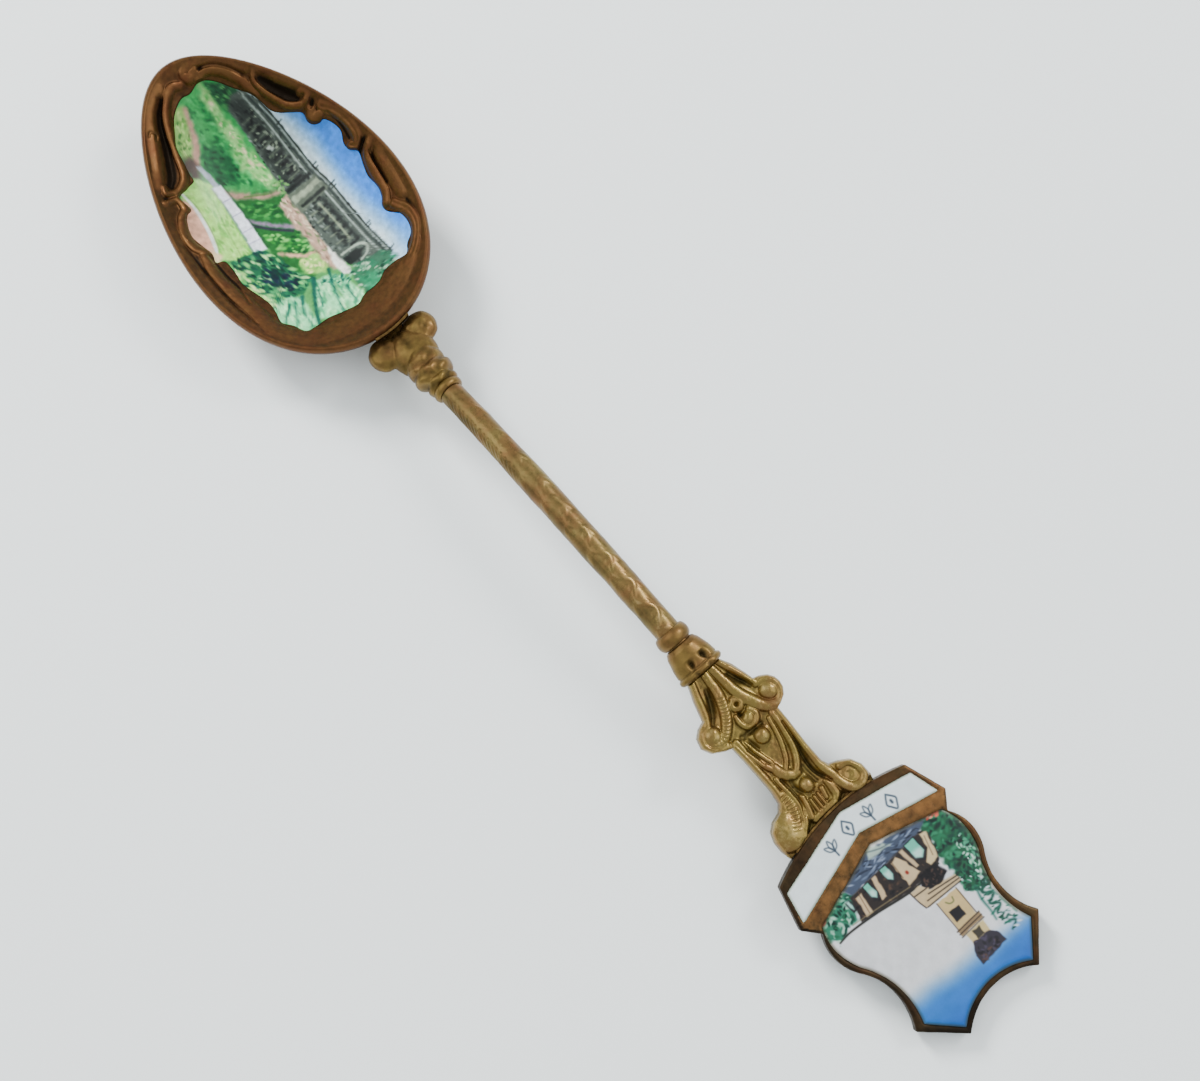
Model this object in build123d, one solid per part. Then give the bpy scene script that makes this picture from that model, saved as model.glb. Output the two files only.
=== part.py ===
"""Souvenir spoon: an enamelled brass bowl on a bent stem that ends in a scrollwork panel and an enamelled shield.

Millimetres. +X runs from the bowl's tip to the shield, +Z is up, and the origin is the middle of the
underside of the whole spoon's box. A station is a distance along the spoon from the bowl's tip.
"""

import math
import os

from build123d import *

# --- bowl ---
BOWL_LENGTH = 34.35
EGG_A = 76.0             # half-width squared = 4 u (1 - u) (EGG_A + EGG_B u), with u from 0 at the tip to 1
EGG_B = 103.0
BOWL_PITCH = 4.0         # degrees, tip up
RIM_EDGE = 0.9           # height of the plain outer edge
OUTER_SAG = 5.5          # below that edge, at the deepest point
INNER_EDGE = 0.15        # the small step inside the rim
INNER_SAG = 5.05         # below that step, to the top of the enamel and its border
INNER_SCALE = 0.948      # the hollow's outline, against the rim's
RECESS_DEPTH = 0.4       # the picture's bed, below the border
ENAMEL_THICKNESS = 0.35
RUBBED_FOOT = 0.08       # how much the shield's two lowest corners are worn away, so that both stand on the table
RUBBED_FLAT = 0.13       # how much the bowl's lowest point is worn away, so that it stands on a small flat
STEEPENING = 1.3         # 1 is a parabola: more makes the walls steeper and the bottom flatter

# --- handle, side view ---
STEM_START = 43.0        # station where the bare stem begins
STEM_START_Z = 5.3
STEM_END = 74.15         # station where the collar begins
UPPER_SLOPE = 7.0        # degrees, the panel and shield run down towards the far end
STEM_RADIUS = 1.3
SOCKET_DEPTH = 2.0
LOBE_STATION = 35.75
LOBE_SPREAD = 2.05
LOBE_RADIUS = 1.75
LOBE_HEIGHT = 2.4
SOLDER_FILM = 0.15

# --- upper handle, measured along its slope from STEM_END ---
COLLAR_LENGTH = 1.2
CALYX_START = 1.4
CALYX_END = 4.85
PANEL_THICKNESS = 1.8
VOLUTE_STATION = 10.1     # along the slope from STEM_END, as are the panel's other stations
VOLUTE_SPREAD = 3.45
VOLUTE_RADIUS = 1.4
FOOT_VOLUTE_STATION = 21.0
FOOT_VOLUTE_SPREAD = 4.0
FOOT_VOLUTE_RADIUS = 1.6
BOSSES = ((9.1, 0.65), (10.8, 0.7), (12.9, 0.7), (19.0, 0.6))     # station and radius

# --- shield, measured from the ribbon's apex along its own axis ---
SHIELD_START = 22.4      # the ribbon's apex, along the slope from STEM_END
SHIELD_YAW = 2.1         # degrees, soldered on slightly askew
SHIELD_SHIFT = 0.2       # and slightly to one side
PLATE_THICKNESS = 1.6
ENAMEL_BED = 0.6
SHIELD_ENAMEL = 0.55
SHIELD_LENGTH = 23.7     # apex to the two end points
SOLDER_GAP = 0.2


# ---------------------------------------------------------------- bowl

def egg_half_width(u):
    return math.sqrt(max(0.0, 4 * u * (1 - u) * (EGG_A + EGG_B * u)))


def closed_curve(points, pieces=12):
    """A smooth closed outline, in short lengths."""
    whole = Spline(points, periodic=True)
    return make_face([whole.trim(i / pieces, (i + 1) / pieces) for i in range(pieces)])


def egg_face(scale):
    """The rim's outline in the bowl's own frame, scaled about the bowl's middle."""
    turns = 24
    side = [0.5 - 0.5 * math.cos(math.pi * i / turns) for i in range(turns + 1)]
    upper = [(BOWL_LENGTH * u, egg_half_width(u)) for u in side]
    lower = [(x, -y) for x, y in reversed(upper[1:-1])]
    middle = BOWL_LENGTH / 2
    points = [(middle + (x - middle) * scale, y * scale) for x, y in upper + lower]
    return closed_curve(points)


def dish_height(x, y, edge, sag, scale):
    """Height of a dished surface below the rim plane: -edge at its own outline, deepest at mid-length."""
    middle = BOWL_LENGTH / 2
    u = (middle + (x - middle) / scale) / BOWL_LENGTH
    y = y / scale
    inside = 4 * u * (1 - u) - y * y / (EGG_A + EGG_B * u)
    return -edge - sag * (1 - (1 - inside) ** STEEPENING)


def above_dish(edge, sag, scale, top=8.0, overlap=0.3, margin=8.0):
    """Everything above a dished surface, as a block that reaches a little past the outline all round."""
    middle = BOWL_LENGTH / 2
    grid = []
    for i in range(27):
        x = -overlap + (BOWL_LENGTH + 2 * overlap) * i / 26
        u = x / BOWL_LENGTH
        reach = math.sqrt(4 * u * (1 - u) * (EGG_A + EGG_B * u) + margin)
        row = []
        for j in range(19):
            y = reach * (2 * j / 18 - 1) * scale
            place_x = middle + (x - middle) * scale
            row.append(Vector(place_x, y, dish_height(place_x, y, edge, sag, scale)))
        grid.append(row)
    surface = Face.make_surface_from_array_of_points(grid, tol=0.002, min_deg=3, max_deg=5)
    return Solid.extrude(surface, Vector(0, 0, top))


def egg_prism(scale, low, high):
    return extrude(Pos(0, 0, low) * egg_face(scale), amount=high - low)


def above_hollow(depth=0.0):
    """Everything above the hollow's surface, or above a surface some depth below it."""
    return Pos(0, 0, -depth) * above_dish(INNER_EDGE, INNER_SAG, INNER_SCALE)


def bowl_envelope(film=0.0):
    """The bowl filled up to its rim plane, grown outwards by a film."""
    scale = 1 + 2 * film / (2 * egg_half_width(0.5))
    return egg_prism(scale, -9, 0) & (Pos(0, 0, -film) * above_dish(RIM_EDGE, OUTER_SAG, 1.0, top=12))


PICTURE_OUTLINE = [
    (3.5, 1.2), (4.6, 3.8), (7.2, 5.1), (9.6, 6.1), (11.3, 7.5), (13.4, 8.2), (15.3, 8.9), (17.2, 8.5),
    (19.6, 8.4), (22.2, 8.3), (23.9, 7.4), (26.3, 7.9), (28.4, 6.8), (29.0, 4.6), (29.3, 1.5), (28.8, -2.2),
    (28.1, -5.2), (27.0, -7.2), (24.3, -7.2), (21.0, -7.8), (17.9, -8.2), (14.6, -8.2), (12.0, -7.5),
    (9.7, -6.0), (7.7, -4.3), (4.8, -2.6),
]


def picture_prism():
    return extrude(Pos(0, 0, -9) * closed_curve(PICTURE_OUTLINE, 16), amount=9)


def bowl():
    hollow = egg_prism(INNER_SCALE, -9, 1) & above_hollow()
    bed = picture_prism() & above_hollow(RECESS_DEPTH)
    return bowl_envelope() - hollow - bed


def bowl_enamel():
    return (picture_prism() & above_hollow(RECESS_DEPTH)) - above_hollow(RECESS_DEPTH - ENAMEL_THICKNESS)


# ---------------------------------------------------------------- handle frames

def bowl_place(lift):
    """From the bowl's own frame to stations: pitched about the rim's middle, then lifted."""
    middle = BOWL_LENGTH / 2
    return Pos(middle, 0, lift) * Rot(0, BOWL_PITCH, 0) * Pos(-middle, 0, 0)


STEM_END_Z = (
    (SHIELD_START + SHIELD_LENGTH) * math.sin(math.radians(UPPER_SLOPE))
    + PLATE_THICKNESS / 2 * math.cos(math.radians(UPPER_SLOPE))
)
CHORD_ANGLE = math.degrees(math.atan2(STEM_END_Z - STEM_START_Z, STEM_END - STEM_START))
LOWER_SLOPE = 2 * CHORD_ANGLE + UPPER_SLOPE      # so that one arc joins the two straight ends


def sloped_plane(station, height, degrees):
    """A frame on the handle's line: X along the handle, Z up from it. Positive degrees climb."""
    a = math.radians(degrees)
    return Plane(
        origin=(station, 0, height),
        x_dir=(math.cos(a), 0, math.sin(a)),
        z_dir=(-math.sin(a), 0, math.cos(a)),
    )


LOWER = sloped_plane(STEM_START, STEM_START_Z, LOWER_SLOPE)
UPPER = sloped_plane(STEM_END, STEM_END_Z, -UPPER_SLOPE)
SHIELD = UPPER * Pos(SHIELD_START, SHIELD_SHIFT, 0) * Rot(0, 0, SHIELD_YAW)


def turned(profile):
    """A round piece about the local X axis, from its half section in X and Y."""
    return revolve(make_face(Polyline(*profile, close=True)), axis=Axis.X)


# ---------------------------------------------------------------- lower handle

RING_LENGTH = 0.85
RING_RADIUS = 1.55
KNOP_START = -6.3
KNOP_RADIUS = 1.95
KNOP_BULGE = 2.15


def heel_fitting(bowl_solid):
    """The cast heel that the bowl sits on: a tapering drop, two lobes and a knop with the stem's socket."""
    knop = turned([
        (KNOP_START, 0), (KNOP_START, 1.6), (KNOP_START + 0.4, KNOP_RADIUS), (-4.0, KNOP_RADIUS),
        (-3.5, KNOP_BULGE), (-2.9, KNOP_BULGE), (-2.3, KNOP_RADIUS), (-1.6, 1.6), (-RING_LENGTH, 1.45),
        (-RING_LENGTH, 0),
    ])
    lobe_x = (LOBE_STATION - STEM_START) / math.cos(math.radians(LOWER_SLOPE))
    lobes = [
        Pos(lobe_x, side * LOBE_SPREAD, 0) * fillet(Cylinder(LOBE_RADIUS, LOBE_HEIGHT).edges(), 0.9)
        for side in (1, -1)
    ]
    upper = LOWER * (knop + lobes[0] + lobes[1])
    drop_side = make_face(Polyline(
        (37.4, 0, 2.5), (37.4, 0, 5.2), (29.5, 0, 5.2), (29.0, 0, 1.0), (30.2, 0, 0.5), (32.4, 0, 0.9),
        (34.6, 0, 1.9), close=True,
    ))
    drop = extrude(drop_side, amount=1.7, both=True)
    taper = Pos(36.2, 0, 3) * extrude(
        make_face(Polyline((1.5, 1.7), (-3.5, 1.7), (-7.2, 0.5), (-7.2, -0.5), (-3.5, -1.7), (1.5, -1.7), close=True)),
        amount=4, both=True,
    )
    body = upper + (drop & taper)
    socket = LOWER * Pos(-RING_LENGTH - SOCKET_DEPTH / 2, 0, 0) * Rot(0, 90, 0) * Cylinder(STEM_RADIUS, SOCKET_DEPTH)
    return body - socket - bowl_solid


def bowl_solder(envelope, grown):
    """The brazed film between the bowl's underside and the heel, showing as a thin line round the drop."""
    footprint = extrude(
        make_face(Polyline(
            (34.9, 2.0), (32.5, 2.0), (28.7, 0.8), (28.7, -0.8), (32.5, -2.0), (34.9, -2.0), close=True,
        )),
        amount=8,
    )
    return (grown - envelope) & footprint


def stem():
    """The bent round stem, plain at the ends that stand in the sockets."""
    start = LOWER.from_local_coords(Vector(-RING_LENGTH - SOCKET_DEPTH, 0, 0))
    bend_start = LOWER.from_local_coords(Vector(0, 0, 0))
    bend_end = UPPER.from_local_coords(Vector(0, 0, 0))
    end = UPPER.from_local_coords(Vector(CALYX_START + SOCKET_DEPTH, 0, 0))
    path = (
        Line(start, bend_start)
        + TangentArc(bend_start, bend_end, tangent=LOWER.x_dir)
        + Line(bend_end, end)
    )
    return sweep(Plane(origin=start, z_dir=LOWER.x_dir) * Circle(STEM_RADIUS), path=path)


def ring(length, radius, rounding):
    body = Rot(0, 90, 0) * Pos(0, 0, length / 2) * Cylinder(radius, length)
    body = fillet(body.edges(), rounding)
    return body - Rot(0, 90, 0) * Pos(0, 0, length / 2) * Cylinder(STEM_RADIUS, length + 1)


# ---------------------------------------------------------------- upper handle

def calyx():
    """The flattened ferrule that takes the stem at one end and the panel's tongue at the other."""
    stations = [
        (CALYX_START, 1.5, 1.45), (CALYX_START + 0.7, 1.75, 1.55), (CALYX_START + 1.8, 2.15, 1.7),
        (CALYX_END - 0.75, 2.3, 1.75),
    ]
    sections = [Plane(origin=(x, 0, 0), z_dir=(1, 0, 0), x_dir=(0, 1, 0)) * Ellipse(a, b) for x, a, b in stations]
    cup = loft(sections)
    lip = extrude(
        Plane(origin=(CALYX_END - 0.75, 0, 0), z_dir=(1, 0, 0), x_dir=(0, 1, 0)) * Ellipse(2.45, 1.9), amount=0.75
    )
    lip = fillet(lip.edges(), 0.25)
    body = cup + lip
    for side in (1, -1):
        eye = Pos(3.1, side * 0.75, 1.75) * Rot(0, 0, side * 12) * scale(Sphere(0.3), by=(2.0, 1.0, 1.0))
        body -= eye
    socket = Pos(CALYX_START + SOCKET_DEPTH / 2, 0, 0) * Rot(0, 90, 0) * Cylinder(STEM_RADIUS, SOCKET_DEPTH)
    return body - socket - tongue()


def tongue():
    return Pos(CALYX_END - 0.6, 0, -0.1) * Box(1.2, 3.0, 1.2)


def panel_outline():
    """Half outline of the scrollwork panel, mirrored, in its own plane."""
    start = CALYX_END
    upper = make_face(Polyline(
        (start, -0.1), (start, 2.1), (7.5, 2.8), (8.6, 3.1), (10.1, 3.3), (12.2, 3.0), (18.3, 2.9),
        (19.2, 3.3), (20.8, 4.9), (23.2, 5.1), (23.2, -0.1), close=True,
    ))
    upper += Pos(VOLUTE_STATION, VOLUTE_SPREAD) * Circle(VOLUTE_RADIUS)
    upper += Pos(FOOT_VOLUTE_STATION, FOOT_VOLUTE_SPREAD) * Circle(FOOT_VOLUTE_RADIUS)
    return upper + mirror(upper, about=Plane.XZ)


def scroll_panel():
    """The cast panel: a plate with scroll arms, four volutes, bosses and a fan, and a tongue for the calyx."""
    plate_low = -PANEL_THICKNESS / 2
    plate = extrude(Pos(0, 0, plate_low) * panel_outline(), amount=1.3)
    raised = []
    for side in (1, -1):
        raised.append(Pos(VOLUTE_STATION, side * VOLUTE_SPREAD, 0.35) * fillet(
            Cylinder(VOLUTE_RADIUS - 0.05, 1.1).edges().sort_by(Axis.Z)[-1:], 0.45))
        raised.append(Pos(FOOT_VOLUTE_STATION, side * FOOT_VOLUTE_SPREAD, 0.4) * fillet(
            Cylinder(FOOT_VOLUTE_RADIUS - 0.05, 1.2).edges().sort_by(Axis.Z)[-1:], 0.5))
    for x, radius in BOSSES:
        raised.append(Pos(x, 0, 0.3) * Sphere(radius))
    body = plate
    for piece in raised:
        body += piece
    body += tongue()
    ground = Pos(10, 0, -PANEL_THICKNESS / 2 - 2) * Box(40, 20, 4)
    body -= ground
    clearance = SOLDER_GAP
    return UPPER * body - SHIELD * extrude(Pos(0, 0, -2) * offset(shield_outline(), clearance), amount=4)


# ---------------------------------------------------------------- shield

RIBBON_TOP = (1.65, 8.2)         # the ribbon's corner on the handle's side
RIBBON_END = (5.9, 9.5)
RIBBON_FOOT = (7.5, 8.2)         # where the ribbon meets the shield's side
SHOULDER = (9.8, 8.95)
FLANK = (12.4, 8.25)
WAIST = (16.0, 7.0)
EAR = (19.95, 8.1)
NOTCH_DEPTH = 1.7


def other_side(point):
    return (point[0], -point[1])


def shield_outline():
    """The plate's outline: a chevron ribbon across the head, a waisted body and a notched foot."""
    point = (SHIELD_LENGTH, 4.5)
    edges = [
        ThreePointArc(other_side(RIBBON_TOP), (0, 0), RIBBON_TOP),
        Line(RIBBON_TOP, RIBBON_END),
        Line(RIBBON_END, RIBBON_FOOT),
        ThreePointArc(RIBBON_FOOT, SHOULDER, FLANK),
        ThreePointArc(FLANK, WAIST, EAR),
        Line(EAR, point),
        ThreePointArc(point, (SHIELD_LENGTH - NOTCH_DEPTH, 0), other_side(point)),
        Line(other_side(point), other_side(EAR)),
        ThreePointArc(other_side(EAR), other_side(WAIST), other_side(FLANK)),
        ThreePointArc(other_side(FLANK), other_side(SHOULDER), other_side(RIBBON_FOOT)),
        Line(other_side(RIBBON_FOOT), other_side(RIBBON_END)),
        Line(other_side(RIBBON_END), other_side(RIBBON_TOP)),
    ]
    return make_face(edges)


def ribbon_field():
    """The ribbon's bed, a chevron band with cut ends."""
    upper = [(2.45, 8.1), (0.5, 0.0)]
    lower = [(3.25, 0.0), (5.65, 8.9)]
    points = [*upper, other_side(upper[0]), other_side(lower[1]), *lower]
    return make_face(Polyline(*points, close=True))


def picture_field():
    """The picture's bed: the plate's outline drawn in by the rim, below the bar under the ribbon."""
    head = (7.0, 7.8)
    shoulder = (9.6, 8.38)
    flank = (12.2, 7.72)
    waist = (16.2, 6.42)
    inner_ear = (19.95, 7.05)
    inner_point = (22.9, 4.42)
    edges = [
        Line((4.65, 0), head),
        ThreePointArc(head, shoulder, flank),
        ThreePointArc(flank, waist, inner_ear),
        Line(inner_ear, inner_point),
        ThreePointArc(inner_point, (SHIELD_LENGTH - NOTCH_DEPTH - 0.65, 0), other_side(inner_point)),
        Line(other_side(inner_point), other_side(inner_ear)),
        ThreePointArc(other_side(inner_ear), other_side(waist), other_side(flank)),
        ThreePointArc(other_side(flank), other_side(shoulder), other_side(head)),
        Line(other_side(head), (4.65, 0)),
    ]
    return make_face(edges)


def shield_plate():
    plate = extrude(Pos(0, 0, -PLATE_THICKNESS / 2) * shield_outline(), amount=PLATE_THICKNESS)
    bed = PLATE_THICKNESS / 2 - ENAMEL_BED
    plate -= extrude(Pos(0, 0, bed) * ribbon_field(), amount=2)
    plate -= extrude(Pos(0, 0, bed) * picture_field(), amount=2)
    return SHIELD * plate


def enamel_fill(field):
    return SHIELD * extrude(Pos(0, 0, PLATE_THICKNESS / 2 - ENAMEL_BED) * field, amount=SHIELD_ENAMEL)


def shield_solder():
    """The brazed seam that fills the gap between the panel's foot and the plate's chevron edge."""
    seam = offset(shield_outline(), SOLDER_GAP) - shield_outline()
    reach = Pos(1.0, 0) * Rectangle(4, 9.6)
    return SHIELD * extrude(Pos(0, 0, -0.8) * (seam & reach), amount=1.4)


# ---------------------------------------------------------------- assembly

def build():
    plate = shield_plate()
    ground = plate.bounding_box().min.Z + RUBBED_FOOT
    envelope_flat = bowl_envelope()
    lift = ground - RUBBED_FLAT - (bowl_place(0) * envelope_flat).bounding_box().min.Z
    place = bowl_place(lift)
    table = Pos(60, 0, ground - 5) * Box(160, 60, 10)
    envelope = place * envelope_flat
    grown = place * bowl_envelope(SOLDER_FILM)
    return {
        "bowl": place * bowl() - table,
        "bowl_enamel": place * bowl_enamel(),
        "bowl_solder": bowl_solder(envelope, grown),
        "heel_fitting": heel_fitting(grown),
        "stem_ring": LOWER * Pos(-RING_LENGTH, 0, 0) * ring(RING_LENGTH, RING_RADIUS, 0.1),
        "stem": stem(),
        "collar": UPPER * ring(COLLAR_LENGTH, 1.7, 0.18),
        "calyx": UPPER * calyx(),
        "scroll_panel": scroll_panel(),
        "shield_solder": shield_solder(),
        "shield_plate": plate - table,
        "ribbon_enamel": enamel_fill(ribbon_field()),
        "shield_enamel": enamel_fill(picture_field()),
    }


def main():
    os.makedirs("parts", exist_ok=True)
    pieces = build()
    boxes = [piece.bounding_box() for piece in pieces.values()]
    low_x, high_x = min(b.min.X for b in boxes), max(b.max.X for b in boxes)
    low_y, high_y = min(b.min.Y for b in boxes), max(b.max.Y for b in boxes)
    home = Pos(-(low_x + high_x) / 2, -(low_y + high_y) / 2, -min(b.min.Z for b in boxes))
    for name, piece in pieces.items():
        export_step(home * piece, f"parts/{name}.step")
        print(name, round(piece.volume, 1))
    print("x", low_x, high_x, "y", low_y, high_y, "home", home.position)


main()
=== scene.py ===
"""Souvenir spoon: aged brass with fired enamel pictures in the bowl and on the shield.

Lengths are in millimetres until a piece is placed. A station is a distance along the spoon from the
bowl's tip.
"""

import math

import bmesh
import bpy
import numpy as np
from mathutils import Matrix, Vector


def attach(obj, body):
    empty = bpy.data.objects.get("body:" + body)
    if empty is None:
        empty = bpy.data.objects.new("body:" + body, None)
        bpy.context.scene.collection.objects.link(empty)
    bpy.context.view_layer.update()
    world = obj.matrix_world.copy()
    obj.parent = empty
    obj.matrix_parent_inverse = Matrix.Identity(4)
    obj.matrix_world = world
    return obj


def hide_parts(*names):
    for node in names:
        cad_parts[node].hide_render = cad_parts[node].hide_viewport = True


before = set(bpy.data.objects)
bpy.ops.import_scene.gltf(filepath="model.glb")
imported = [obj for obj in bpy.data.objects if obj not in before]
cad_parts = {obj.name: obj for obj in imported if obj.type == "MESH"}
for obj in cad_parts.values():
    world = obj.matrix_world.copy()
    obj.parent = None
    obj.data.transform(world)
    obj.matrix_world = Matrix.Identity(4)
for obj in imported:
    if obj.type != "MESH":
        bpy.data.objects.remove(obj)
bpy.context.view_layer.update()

# ---------------------------------------------------------------- the spoon's own frames

MIDDLE = 60.0653         # station of the row's origin
LIFT = -0.0618
BOWL_LENGTH = 34.35
BOWL_MIDDLE = BOWL_LENGTH / 2
RIM_HEIGHT = 6.4717
STEM_LOW = (43.0, 5.3)
STEM_HIGH = (74.15, 6.4122)
LOWER_SLOPE = math.radians(11.09)
UPPER_SLOPE = math.radians(7.0)


def shift(x, y=0.0, z=0.0):
    return Matrix.Translation((x, y, z))


ROW = Matrix.Scale(0.001, 4) @ shift(-MIDDLE, 0, LIFT)
BOWL = ROW @ shift(BOWL_MIDDLE, 0, RIM_HEIGHT) @ Matrix.Rotation(math.radians(4), 4,
                                                                 "Y") @ shift(-BOWL_MIDDLE)
LOWER = ROW @ shift(STEM_LOW[0], 0, STEM_LOW[1]) @ Matrix.Rotation(-LOWER_SLOPE, 4, "Y")
UPPER = ROW @ shift(STEM_HIGH[0], 0, STEM_HIGH[1]) @ Matrix.Rotation(UPPER_SLOPE, 4, "Y")
SHIELD = UPPER @ shift(22.4, 0.2) @ Matrix.Rotation(math.radians(2.1), 4, "Z")

# ---------------------------------------------------------------- colours and nodes


def hex_rgb(code):
    """An sRGB hex colour as numbers from 0 to 1."""
    return np.array([int(code[i:i + 2], 16) for i in (1, 3, 5)]) / 255.0


def linear(rgb):
    rgb = np.asarray(rgb, float)
    return np.where(rgb <= 0.04045, rgb / 12.92, ((rgb + 0.055) / 1.055) ** 2.4)


def shade(code):
    """An sRGB hex colour as a linear colour for a socket."""
    return (*linear(hex_rgb(code)), 1.0)


def node(tree, kind, settings=None, **inputs):
    """Adds a node, with its settings and what its inputs hold or are linked from."""
    made = tree.nodes.new(kind)
    for key, value in (settings or {}).items():
        setattr(made, key, value)
    for key, value in inputs.items():
        by_number = key[0] == "i" and key[1:].isdigit()
        socket = made.inputs[int(key[1:]) if by_number else key.replace("_", " ")]
        if isinstance(value, bpy.types.NodeSocket):
            tree.links.new(value, socket)
        else:
            socket.default_value = value
    return made


def ramp(tree, fac, *stops):
    """A colour ramp from (position, hex) stops."""
    made = node(tree, "ShaderNodeValToRGB", None, Fac=fac)
    band = made.color_ramp
    while len(band.elements) < len(stops):
        band.elements.new(0.5)
    for element, (at, code) in zip(band.elements, stops):
        element.position = at
        element.color = shade(code)
    return made.outputs["Color"]


def new_material(name):
    made = bpy.data.materials.new(name)
    made.use_nodes = True
    made.node_tree.nodes.clear()
    return made, made.node_tree


def finish_shader(tree, **inputs):
    shader = node(tree, "ShaderNodeBsdfPrincipled", None, **inputs)
    node(tree, "ShaderNodeOutputMaterial", None, Surface=shader.outputs[0])
    return shader


# ---------------------------------------------------------------- materials


def aged_brass(name, bright, body, red, hollow_and_shade, rough=(0.28, 0.48), red_share=0.5):
    """Cast and polished brass under a brown patina.

    It is golden where it is worn bright, redder in patches and dark in the hollows. "wear" on the mesh is 1 on
    worn ridges,
    0.5 on the ground and 0 in hollows; on the stem it also holds painted highlights, and on the shield plate
    painted shade.
    The patina dulls the metal, so it isn't fully metallic.
    """
    material, tree = new_material(name)
    at = node(tree, "ShaderNodeTexCoord").outputs["Object"]
    wear_and_painted_light = node(tree, "ShaderNodeAttribute", {"attribute_name": "wear_and_painted_light"}).outputs["Fac"]
    # Patches of 2.4 mm, mottle of 0.6 mm and a fine tooth of 0.16 mm.
    patches = node(tree, "ShaderNodeTexNoise", None, Vector=at, Scale=420.0, Detail=3.0, Roughness=0.6)
    mottle = node(tree, "ShaderNodeTexNoise", None, Vector=at, Scale=1700.0, Detail=4.0, Roughness=0.65)
    fine = node(tree, "ShaderNodeTexNoise", None, Vector=at, Scale=6000.0, Detail=2.0, Roughness=0.6)
    tint = ramp(tree, patches.outputs["Fac"], (0.5 - 0.22 * red_share, body),
                (0.5 + 0.25 * (1 - red_share) + 0.08, red))
    # Low values of the attribute take the dark colour: patina in hollows, and painted shade on the shield
    # plate's walls. High values take the bright colour: brass worn bright, and painted highlights on the stem's
    # ridges.
    speck = node(tree, "ShaderNodeMath", {"operation": "MULTIPLY_ADD"}, i0=mottle.outputs["Fac"], i1=0.5,
                 i2=wear_and_painted_light)
    depth = node(tree, "ShaderNodeMapRange", None, Value=speck.outputs[0], From_Min=0.30, From_Max=0.78)
    rubbed_and_highlit = node(tree, "ShaderNodeMapRange", None, Value=speck.outputs[0], From_Min=0.88, From_Max=1.35)
    dark = node(tree, "ShaderNodeMix", {"data_type": "RGBA"}, i0=depth.outputs[0], i6=shade(hollow_and_shade), i7=tint)
    colour = node(tree, "ShaderNodeMix", {"data_type": "RGBA"}, i0=rubbed_and_highlit.outputs[0], i6=dark.outputs[2],
                  i7=shade(bright))
    gloss = node(
        tree, "ShaderNodeMapRange", None, Value=mottle.outputs["Fac"], From_Min=0.35, From_Max=0.7,
        To_Min=rough[0], To_Max=rough[1],
    )
    dull = node(tree, "ShaderNodeMapRange", None, Value=wear_and_painted_light, From_Min=0.15, From_Max=0.5, To_Min=0.2,
                To_Max=0.0)
    roughness = node(tree, "ShaderNodeMath", {"operation": "ADD", "use_clamp": True}, i0=gloss.outputs[0],
                     i1=dull.outputs[0])
    grain_mix = node(tree, "ShaderNodeMix", {"data_type": "FLOAT"}, i0=0.4, i2=mottle.outputs["Fac"],
                     i3=fine.outputs["Fac"])
    bump = node(tree, "ShaderNodeBump", None, Strength=0.25, Distance=0.00005, Height=grain_mix.outputs[0])
    finish_shader(
        tree, Base_Color=colour.outputs[2], Metallic=0.85, Roughness=roughness.outputs[0],
        Normal=bump.outputs[0]
    )
    return material


def fired_enamel(name, amount=0.35):
    """Painted vitreous enamel under a clear fired coat: slightly uneven colours with a soft gloss."""
    material, tree = new_material(name)
    at = node(tree, "ShaderNodeTexCoord").outputs["Object"]
    paint = node(tree, "ShaderNodeAttribute", {"attribute_name": "picture"}).outputs["Color"]
    brush = node(tree, "ShaderNodeTexNoise", None, Vector=at, Scale=3600.0, Detail=3.0, Roughness=0.6)
    tone = node(
        tree, "ShaderNodeMapRange", None, Value=brush.outputs["Fac"], From_Min=0.3, From_Max=0.7,
        To_Min=1 - 0.3 * amount, To_Max=1 + 0.3 * amount,
    )
    colour = node(tree, "ShaderNodeVectorMath", {"operation": "SCALE"}, i0=paint, Scale=tone.outputs[0])
    ripple = node(tree, "ShaderNodeTexNoise", None, Vector=at, Scale=520.0, Detail=2.0)
    bump = node(tree, "ShaderNodeBump", None, Strength=0.12, Distance=0.00012, Height=ripple.outputs["Fac"])
    finish_shader(
        tree, Base_Color=colour.outputs[0], Roughness=0.3, Specular_IOR_Level=0.22, Coat_Weight=0.1,
        Coat_Roughness=0.06,
        Normal=bump.outputs[0],
    )
    return material


# ---------------------------------------------------------------- sheets, strokes and paint


def sheet(across, along):
    """A fine flat sheet as a bmesh, and how far every corner of it lies across and along, from 0 to 1."""
    bm = bmesh.new()
    bmesh.ops.create_grid(bm, x_segments=across, y_segments=along, size=0.5)
    flat = np.array([v.co[:2] for v in bm.verts]) + 0.5
    return bm, flat[:, 0], flat[:, 1]


def deepened(rgb):
    """Pigments fired under a clear coat look deeper and richer than they do dry."""
    grey = rgb @ (0.3, 0.59, 0.11)
    rich = grey[:, None] + (rgb - grey[:, None]) * 1.12
    return np.clip(rich, 0, 1) ** (1 + 0.45 * (1 - grey[:, None]) ** 0.6)


SEAM = 2e-6              # metres: corners nearer than this are one


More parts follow.
